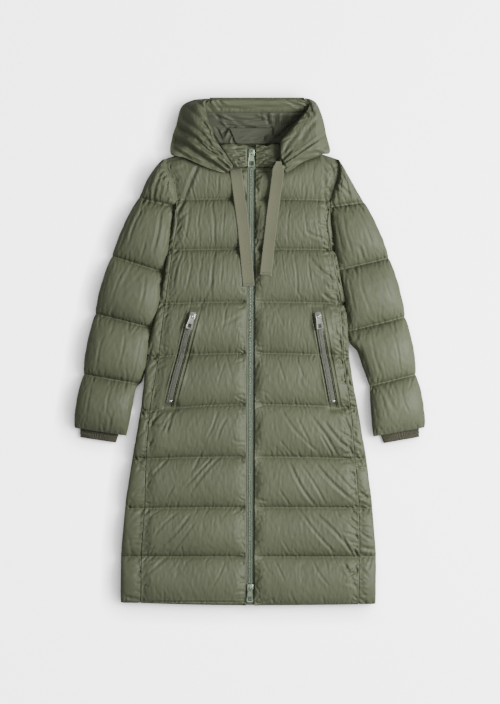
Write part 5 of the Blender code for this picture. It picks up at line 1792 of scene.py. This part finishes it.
# Half the zip's tape across, from its sewn edge to the teeth: share across, and share of its height.
TAPE_OVER = (
    (-1.0, 1.0), (-0.86, 1.25), (-0.72, 1.0), (0.0, 0.85), (0.55, 0.85), (0.72, 1.15), (0.80, 1.15),
    (0.95, 0.9),
)  # fmt: skip
TAPE_UNDER = [(1.0, 0.0003), (0.95, 0), (0, 0), (-1.0, 0)]


def tooth(name, size):
    """One cast tooth, its head at -X: a bevelled bar with a small knob."""
    made = block(name, size)
    pick(made, "polygons", lambda f: f.normal.x < -0.9)
    bpy.ops.object.mode_set(mode="EDIT")
    bpy.ops.mesh.extrude_region_move(TRANSFORM_OT_translate={"value": (-0.0006, 0, 0)})
    bpy.ops.transform.resize(value=(1, 0.6, 0.55), center_override=(-size[0] / 2 - 0.0006, 0, 0))
    bpy.ops.object.mode_set(mode="OBJECT")
    round_edges(made, 0.00028, 1)
    return made


def make_front_zip():
    """Two woven tapes, their cast teeth meshed between them, and a slider at each end."""
    noise = np.random.default_rng(31)
    ys = np.linspace(*ZIP_ENDS, 160)
    for side, sign in SIGN.items():
        low, high = SEAM_GAP / 2, ZIP_HALF
        half, middle = (high - low) / 2, (high + low) / 2
        ripple = np.convolve(noise.normal(0, 0.00035, len(ys) + 8), np.ones(9) / 9, "valid")
        heights = [ZIP_Z + max(0.0, float(r)) for r in ripple]
        route = [Vector((zip_x(y) + sign * middle, y, z)) for y, z in zip(ys, heights)]
        across = [Vector((sign * half, 0, 0))] * len(route)
        profile = [(s, h * TAPE_THICK * 0.8) for s, h in TAPE_OVER] + TAPE_UNDER
        piece = strip(f"woven_tape_{side}", route, across, profile)
        shade_smooth(piece)
        finish(piece, "tape", [f"zip_tape_{side}"])
    # Teeth from both tapes in turn, 4 mm short of the zip's ends.
    pitch = bpy.context.scene.coat_sizes.tooth_pitch
    z = ZIP_Z + TAPE_THICK + SEAM_GAP + CHAIN_THICK / 2
    places = []
    count = int((ZIP_ENDS[1] - ZIP_ENDS[0] - 0.008) / pitch)
    for i in range(2 * count):
        y = ZIP_ENDS[0] + 0.004 + i * pitch / 2
        sign = 1 if i % 2 else -1
        spot = Vector((zip_x(y) + sign * 0.0022, y, z))
        places.append(Matrix.Translation(spot) @ Matrix.Diagonal((sign, sign, 1, 1)))
    teeth = copies("zip_teeth", tooth("tooth", (0.0036, 0.0019, 0.0026)), places)
    smooth_by_angle(teeth)
    finish(teeth, "teeth", ["zip_chain"])
    make_slider("top", "slider_top", "pull_top", "top_tab", "tinted", "tinted_metal")
    make_slider("bottom", "slider_bottom", "pull_bottom", "bottom_tab", "tinted", "tinted_metal")


# ---- pockets --------------------------------------------------------------------------------------
POCKET_TAPE = 0.0150
POCKET_WELT = 0.0085
PANEL_GAP = 0.0006
CHAIN_LIFT = PANEL_GAP + TAPE_THICK + SEAM_GAP
POCKET_BAR = (0.0086, 0.0013, 0.0012)
POCKET_STOP = (0.0060, 0.0040, 0.0024)
WELT_DROP, WELT_PAST = 0.045, 0.012  # where a welt starts and ends, below its zip's top and bottom
POCKET_HEIGHTS = {}
# A pocket tape's section: its edge, and a rib on each side of the teeth.
POCKET_TAPE_OVER = (
    (-1.0, 0.8), (-0.95, 1.1), (-0.85, 0.9), (-0.42, 0.8), (-0.36, 1.25), (-0.26, 1.25), (-0.2, 0.8),
    (0.58, 0.8), (0.64, 1.25), (0.74, 1.25), (0.80, 0.8), (1.0, 0.8),
)  # fmt: skip
# A welt's: a thin piped edge beside the zip, a furrow, and the roll that falls to the panel.
WELT_SECTION = (
    (-1.0, 0.0), (-0.92, 0.0010), (-0.84, 0.0030), (-0.70, 0.0036), (-0.54, 0.0028), (-0.44, 0.0006),
    (-0.34, 0.0006), (-0.22, 0.0038), (0.05, 0.0046), (0.35, 0.0042), (0.65, 0.0030), (0.88, 0.0014),
    (1.0, 0.0), (0.0, 0.0),
)  # fmt: skip


def pocket_x(side, y):
    (x0, y0), (x1, y1) = POCKETS[side]
    return x0 + (x1 - x0) * (y - y0) / (y1 - y0)


def pocket_z(side, y):
    """Height of the front under a pocket's line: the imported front's, rounded over its quilt seams."""
    if side not in POCKET_HEIGHTS:
        tree = surface(frame["nodes"]["front_right"], frame["nodes"]["front_left"])
        ys = np.arange(-0.170, 0.130, 0.002)
        across = (-0.014, -0.007, 0.0, 0.008)
        found = [max(top_of(tree, pocket_x(side, at) + dx, at) for dx in across) for at in ys]
        padded = np.pad(found, 6, mode="edge")
        eased = np.convolve(padded, np.hanning(15)[1:-1] / np.hanning(15).sum(), "valid")
        POCKET_HEIGHTS[side] = ys, eased
    return np.interp(y, *POCKET_HEIGHTS[side])


# A front is drawn down flat over this strip, from its zip's line, and out from there as it fades.
SEAT_MIDDLE, SEAT_HALF, SEAT_FADE = -0.00325, 0.0125, 0.014
SEAT_ABOVE, SEAT_BELOW = 0.022, 0.030
SEAT_FLOOR = 0.0185  # and no lower than this


def seat_pocket(piece, side):
    """Draws a front down flat under its pocket's tape and welt."""
    points = vectors(piece.data.vertices, "co")
    (_, top), (_, low) = POCKETS[side]
    y = points[:, 1]
    off = points[:, 0] - pocket_x(side, y)
    inside = smooth(1 - (np.abs(off - SEAT_MIDDLE) - SEAT_HALF) / SEAT_FADE)
    inside *= smooth((top + SEAT_ABOVE - y) / SEAT_FADE) * smooth((y - low + SEAT_BELOW) / SEAT_FADE)
    inside *= points[:, 2] > SEAT_FLOOR
    seat = pocket_z(side, y) - SEAM_GAP
    points[:, 2] += inside * (seat - points[:, 2])
    piece.data.vertices.foreach_set("co", points.ravel())
    piece.data.update()


def pocket_edges(side):
    """Troughs where the panel falls in beside a pocket's tape and beside its welt, in mm."""
    (_, top), (_, low) = POCKETS[side]
    ends = top + 0.004, low - 0.006
    made = []
    for off, width, depth in ((-0.0172, 1.8, 4.0), (0.0100, 1.6, 2.6)):
        (x0, y0), (x1, y1) = ((1000 * (pocket_x(side, y) + off), 1000 * y) for y in ends)
        made.append(Fold(x0, y0, x1, y1, width, depth))
    return made


def down_pocket(side, start, end, offset, lift, step=0.003):
    """Points down a pocket's line between two distances from its top."""
    top = POCKETS[side][0][1]
    found = []
    for y in np.linspace(top - start, top - end, max(2, round((end - start) / step))):
        found.append(Vector((float(pocket_x(side, y)) + offset, y, float(pocket_z(side, y)) + lift)))
    return found


def pocket_strip(name, side, width, route, section):
    """A strip of cloth of a full width down a pocket."""
    piece = strip(f"{name}_{side}", route, [Vector((width / 2, 0, 0))] * len(route), section)
    shade_smooth(piece)
    return piece


def make_pocket_tape(side, whole):
    width = POCKET_TAPE - SEAM_GAP
    route = down_pocket(side, 0, whole, -SEAM_GAP - width / 2, PANEL_GAP)
    thick = TAPE_THICK * 0.85
    section = [(s, h * thick) for s, h in POCKET_TAPE_OVER] + [(1.0, 0.0), (0.0, 0.0), (-1.0, 0.0)]
    tape = pocket_strip("pocket_woven_tape", side, width, route, section)
    finish(tape, "coil", [f"pocket_tape_{side}"])


def make_pocket_chain(side, whole):
    """Cast bars from 2 mm below the top, and the stop below them."""
    bars = down_pocket(side, 0.002, whole - 0.008, -0.0066, CHAIN_LIFT + 0.0007, 0.0020)
    places = []
    for before, after in zip(bars, bars[1:]):
        run = (after - before).normalized()
        across = run.cross(Vector((0, 0, 1)))
        places.append(turned(across, across.cross(run), (before + after) / 2))
    chain = copies(f"pocket_teeth_{side}", tooth("bar", POCKET_BAR), places)
    smooth_by_angle(chain)
    finish(chain, "coil", [f"pocket_chain_{side}"])
    stop = block(f"pocket_end_stop_{side}", POCKET_STOP)
    inset(stop, lambda f: f.normal.z > 0.9, 0.0010, 0.0002)
    round_edges(stop, 0.0005)
    spot = down_pocket(side, whole - 0.004, whole - 0.002, -0.0050, CHAIN_LIFT + POCKET_STOP[2] / 2)[0]
    stop.data.transform(Matrix.Translation(spot))
    smooth_by_angle(stop)
    finish(stop, "silver", [f"pocket_stop_{side}"])


def make_pocket_welt(side, whole):
    width = POCKET_WELT - SEAM_GAP
    route = down_pocket(side, WELT_DROP, whole + WELT_PAST, SEAM_GAP + width / 2, PANEL_GAP)
    welt = pocket_strip("pocket_fold", side, width, route, WELT_SECTION)
    ease_ends(welt, route)
    finish(welt, "shell", [f"pocket_welt_{side}"])


def make_pockets():
    """Slanted zips: tape, cast teeth, end stop, a folded welt beside them, and a silver slider."""
    for side in SIGN:
        (_, top), (_, low) = POCKETS[side]
        make_pocket_tape(side, top - low)
        make_pocket_chain(side, top - low)
        make_pocket_welt(side, top - low)
        nodes = f"pocket_slider_{side}", f"pocket_pull_{side}"
        make_slider("pocket", *nodes, f"{side}_pocket_tab", "silver", "silver_metal")


WELT_EASE = 0.014


def ease_ends(welt, route):
    """Lets a welt die away into the panel at both ends."""
    first, last = route[0], route[-1]
    for v in welt.data.vertices:
        near = min(abs(v.co.y - first.y), abs(v.co.y - last.y))
        ground = float(np.interp(-v.co.y, [-p.y for p in route], [p.z for p in route]))
        v.co.z = ground + (v.co.z - ground) * (0.15 + 0.85 * float(smooth(near / WELT_EASE)))


# ---- stitching ------------------------------------------------------------------------------------
THREAD = 0.00032
SINK = 0.00035  # a stitch's ends dip into the fabric
BESIDE_TAPE, BESIDE_WELT, BESIDE_ZIP = 0.0022, 0.0018, 0.0042
HEM_STITCH_Y = -0.5985
HEM_ROWS = (0.0066, 0.0078)  # up from a drawstring's end


def stitch_line(tree, points, pitch):
    """Places for stitches a pitch apart along a line of points, set down on the fabric."""
    points = np.array(points, float)
    run = run_along(points)
    at = np.arange(pitch / 2, run[-1], pitch)
    spots = np.stack([np.interp(at, run, points[:, i]) for i in range(2)], -1)
    found = []
    for i, (x, y) in enumerate(spots):
        ahead = spots[min(i + 1, len(spots) - 1)] - spots[max(i - 1, 0)]
        ends = [top_of(tree, *((x, y) + d * ahead / np.linalg.norm(ahead) * 0.001)) for d in (-1, 1)]
        if None in ends:
            continue
        across = Vector((*(ahead / np.linalg.norm(ahead) * 0.002), ends[1] - ends[0]))
        found.append(turned(across, (0, 0, 1), Vector((x, y, sum(ends) / 2 + 0.0001))))
    return found


def stitch_model(size):
    """One stitch of thread: a short spindle that dips into the fabric at both ends."""
    bpy.ops.object.select_all(action="DESELECT")
    bpy.ops.mesh.primitive_cylinder_add(vertices=6, radius=THREAD, depth=size, rotation=(0, pi / 2, 0))
    made = bpy.context.object
    bpy.ops.object.transform_apply(rotation=True)
    bpy.ops.object.mode_set(mode="EDIT")
    bpy.ops.mesh.select_all(action="SELECT")
    bpy.ops.mesh.bisect(plane_co=(0, 0, 0), plane_no=(1, 0, 0))
    bpy.ops.object.mode_set(mode="OBJECT")
    pick(made, "vertices", lambda v: abs(v.co.x) > size * 0.4)
    bpy.ops.object.mode_set(mode="EDIT")
    bpy.ops.transform.resize(value=(1, 0.5, 0.5))
    bpy.ops.transform.translate(value=(0, 0, -SINK))
    bpy.ops.object.mode_set(mode="OBJECT")
    return made


def make_stitches():
    """The thread in the quilt seams, beside the pockets' welts and across the drawstrings' hems."""
    pitch = bpy.context.scene.coat_sizes.stitch
    for side, sign in SIGN.items():
        tree = surface(PIECES[f"front_{side}"])
        places = []
        for k in range(1, 9):
            outer = side_x(k, 0.0, side)[0]
            xs = np.linspace(sign * 0.013, outer - sign * 0.002, 24)
            places += stitch_line(tree, [(x, float(seam_y(k, x))) for x in xs], pitch)
        for offset in (-POCKET_TAPE - BESIDE_TAPE, POCKET_WELT + BESIDE_WELT):
            (_, top), (_, low) = POCKETS[side]
            line = down_pocket(side, 0.030 if offset > 0 else 0.002, top - low, offset, 0)
            places += stitch_line(tree, [(p.x, p.y) for p in line], pitch)
        ys = np.linspace(-0.600, 0.425, 60)
        places += stitch_line(tree, [(zip_x(y) + sign * (ZIP_HALF + BESIDE_ZIP), y) for y in ys], pitch)
        xs = np.linspace(sign * 0.014, sign * 0.252, 24)
        places += stitch_line(tree, [(x, HEM_STITCH_Y) for x in xs], pitch)
        strap, route, across = PIECES[f"drawstring_{side}"]
        tree = surface(strap)
        for up in HEM_ROWS:
            spot = route[-1] + (route[-2] - route[-1]).normalized() * up
            ends = [spot + across[-1] * s for s in (-0.92, 0.92)]
            places += stitch_line(tree, [(p.x, p.y) for p in ends], 0.0026)
        thread = copies(f"quilt_stitches_{side}", stitch_model(pitch * 0.78), places)
        shade_smooth(thread)
        finish(thread, "thread", [])


# ---- operators ----------------------------------------------------------------------------------
class COAT_OT_stage(bpy.types.Operator):
    """Floor, light and camera"""

    bl_idname = "coat.stage"
    bl_label = "Stage"

    def execute(self, context):
        make_stage()
        return {"FINISHED"}


class COAT_OT_fill(bpy.types.Operator):
    """Cuts the quilted panels and fills them"""

    bl_idname = "coat.fill"
    bl_label = "Fill the panels"

    def execute(self, context):
        fill_panels()
        return {"FINISHED"}


class COAT_OT_fronts(bpy.types.Operator):
    """The two quilted fronts"""

    bl_idname = "coat.fronts"
    bl_label = "Fronts"

    def execute(self, context):
        make_fronts()
        return {"FINISHED"}


class COAT_OT_sides(bpy.types.Operator):
    """The two side panels"""

    bl_idname = "coat.sides"
    bl_label = "Side panels"

    def execute(self, context):
        make_sides()
        return {"FINISHED"}


class COAT_OT_sleeves(bpy.types.Operator):
    """The quilted sleeves"""

    bl_idname = "coat.sleeves"
    bl_label = "Sleeves"

    def execute(self, context):
        make_sleeves()
        return {"FINISHED"}


class COAT_OT_hood_sides(bpy.types.Operator):
    """The hood's sides, turned down on the shoulders"""

    bl_idname = "coat.hood_sides"
    bl_label = "Hood sides"

    def execute(self, context):
        make_hood_sides()
        return {"FINISHED"}


class COAT_OT_collars(bpy.types.Operator):
    """The stand on each side of the zip"""

    bl_idname = "coat.collars"
    bl_label = "Collar"

    def execute(self, context):
        make_collars()
        return {"FINISHED"}


class COAT_OT_drawstrings(bpy.types.Operator):
    """The flat drawstrings on the chest"""

    bl_idname = "coat.drawstrings"
    bl_label = "Drawstrings"

    def execute(self, context):
        make_drawstrings()
        return {"FINISHED"}


class COAT_OT_back(bpy.types.Operator):
    """The back, lying on the ground"""

    bl_idname = "coat.back"
    bl_label = "Back"

    def execute(self, context):
        make_back()
        return {"FINISHED"}


class COAT_OT_hood_crown(bpy.types.Operator):
    """The hood's padded crown"""

    bl_idname = "coat.hood_crown"
    bl_label = "Hood crown"

    def execute(self, context):
        make_hood_crown()
        return {"FINISHED"}


class COAT_OT_hood_inside(bpy.types.Operator):
    """Facing, lining and neck facing"""

    bl_idname = "coat.hood_inside"
    bl_label = "Hood inside"

    def execute(self, context):
        make_hood_inside()
        return {"FINISHED"}


class COAT_OT_cuffs(bpy.types.Operator):
    """The rib-knit cuffs"""

    bl_idname = "coat.cuffs"
    bl_label = "Cuffs"

    def execute(self, context):
        make_cuffs()
        return {"FINISHED"}


class COAT_OT_front_zip(bpy.types.Operator):
    """Tapes, teeth, sliders and pull tabs"""

    bl_idname = "coat.front_zip"
    bl_label = "Front zip"

    def execute(self, context):
        make_front_zip()
        return {"FINISHED"}


class COAT_OT_pockets(bpy.types.Operator):
    """The two pocket zips"""

    bl_idname = "coat.pockets"
    bl_label = "Pockets"

    def execute(self, context):
        make_pockets()
        return {"FINISHED"}


class COAT_OT_stitches(bpy.types.Operator):
    """Thread in the seams"""

    bl_idname = "coat.stitches"
    bl_label = "Stitches"

    def execute(self, context):
        make_stitches()
        return {"FINISHED"}


OPERATORS = (
    COAT_OT_stage, COAT_OT_fill, COAT_OT_fronts, COAT_OT_sides, COAT_OT_sleeves, COAT_OT_hood_sides,
    COAT_OT_collars, COAT_OT_drawstrings, COAT_OT_back, COAT_OT_hood_crown, COAT_OT_hood_inside,
    COAT_OT_cuffs, COAT_OT_front_zip, COAT_OT_pockets, COAT_OT_stitches,
)  # fmt: skip


class COAT_PT_panel(bpy.types.Panel):
    """Sizes, colours and pieces of the coat"""

    bl_idname = "COAT_PT_panel"
    bl_label = "Long puffer coat"
    bl_space_type = "VIEW_3D"
    bl_region_type = "UI"
    bl_category = "Coat"

    def draw(self, context):
        for group in (context.scene.coat_sizes, context.scene.coat_colours):
            for name in group.bl_rna.properties.keys():
                if name not in ("rna_type", "name"):
                    self.layout.prop(group, name)
        for operator in OPERATORS:
            self.layout.operator(operator.bl_idname)


CLASSES = (CoatSizes, CoatColours, *OPERATORS, COAT_PT_panel)


def register():
    for made in CLASSES:
        bpy.utils.register_class(made)
    bpy.types.Scene.coat_sizes = bpy.props.PointerProperty(type=CoatSizes)
    bpy.types.Scene.coat_colours = bpy.props.PointerProperty(type=CoatColours)


def unregister():
    del bpy.types.Scene.coat_colours
    del bpy.types.Scene.coat_sizes
    for made in reversed(CLASSES):
        bpy.utils.unregister_class(made)


def main():
    register()
    bpy.ops.object.select_all(action="DESELECT")
    for operator in OPERATORS:
        area, name = operator.bl_idname.split(".")
        getattr(getattr(bpy.ops, area), name)()


if __name__ == "__main__":
    main()
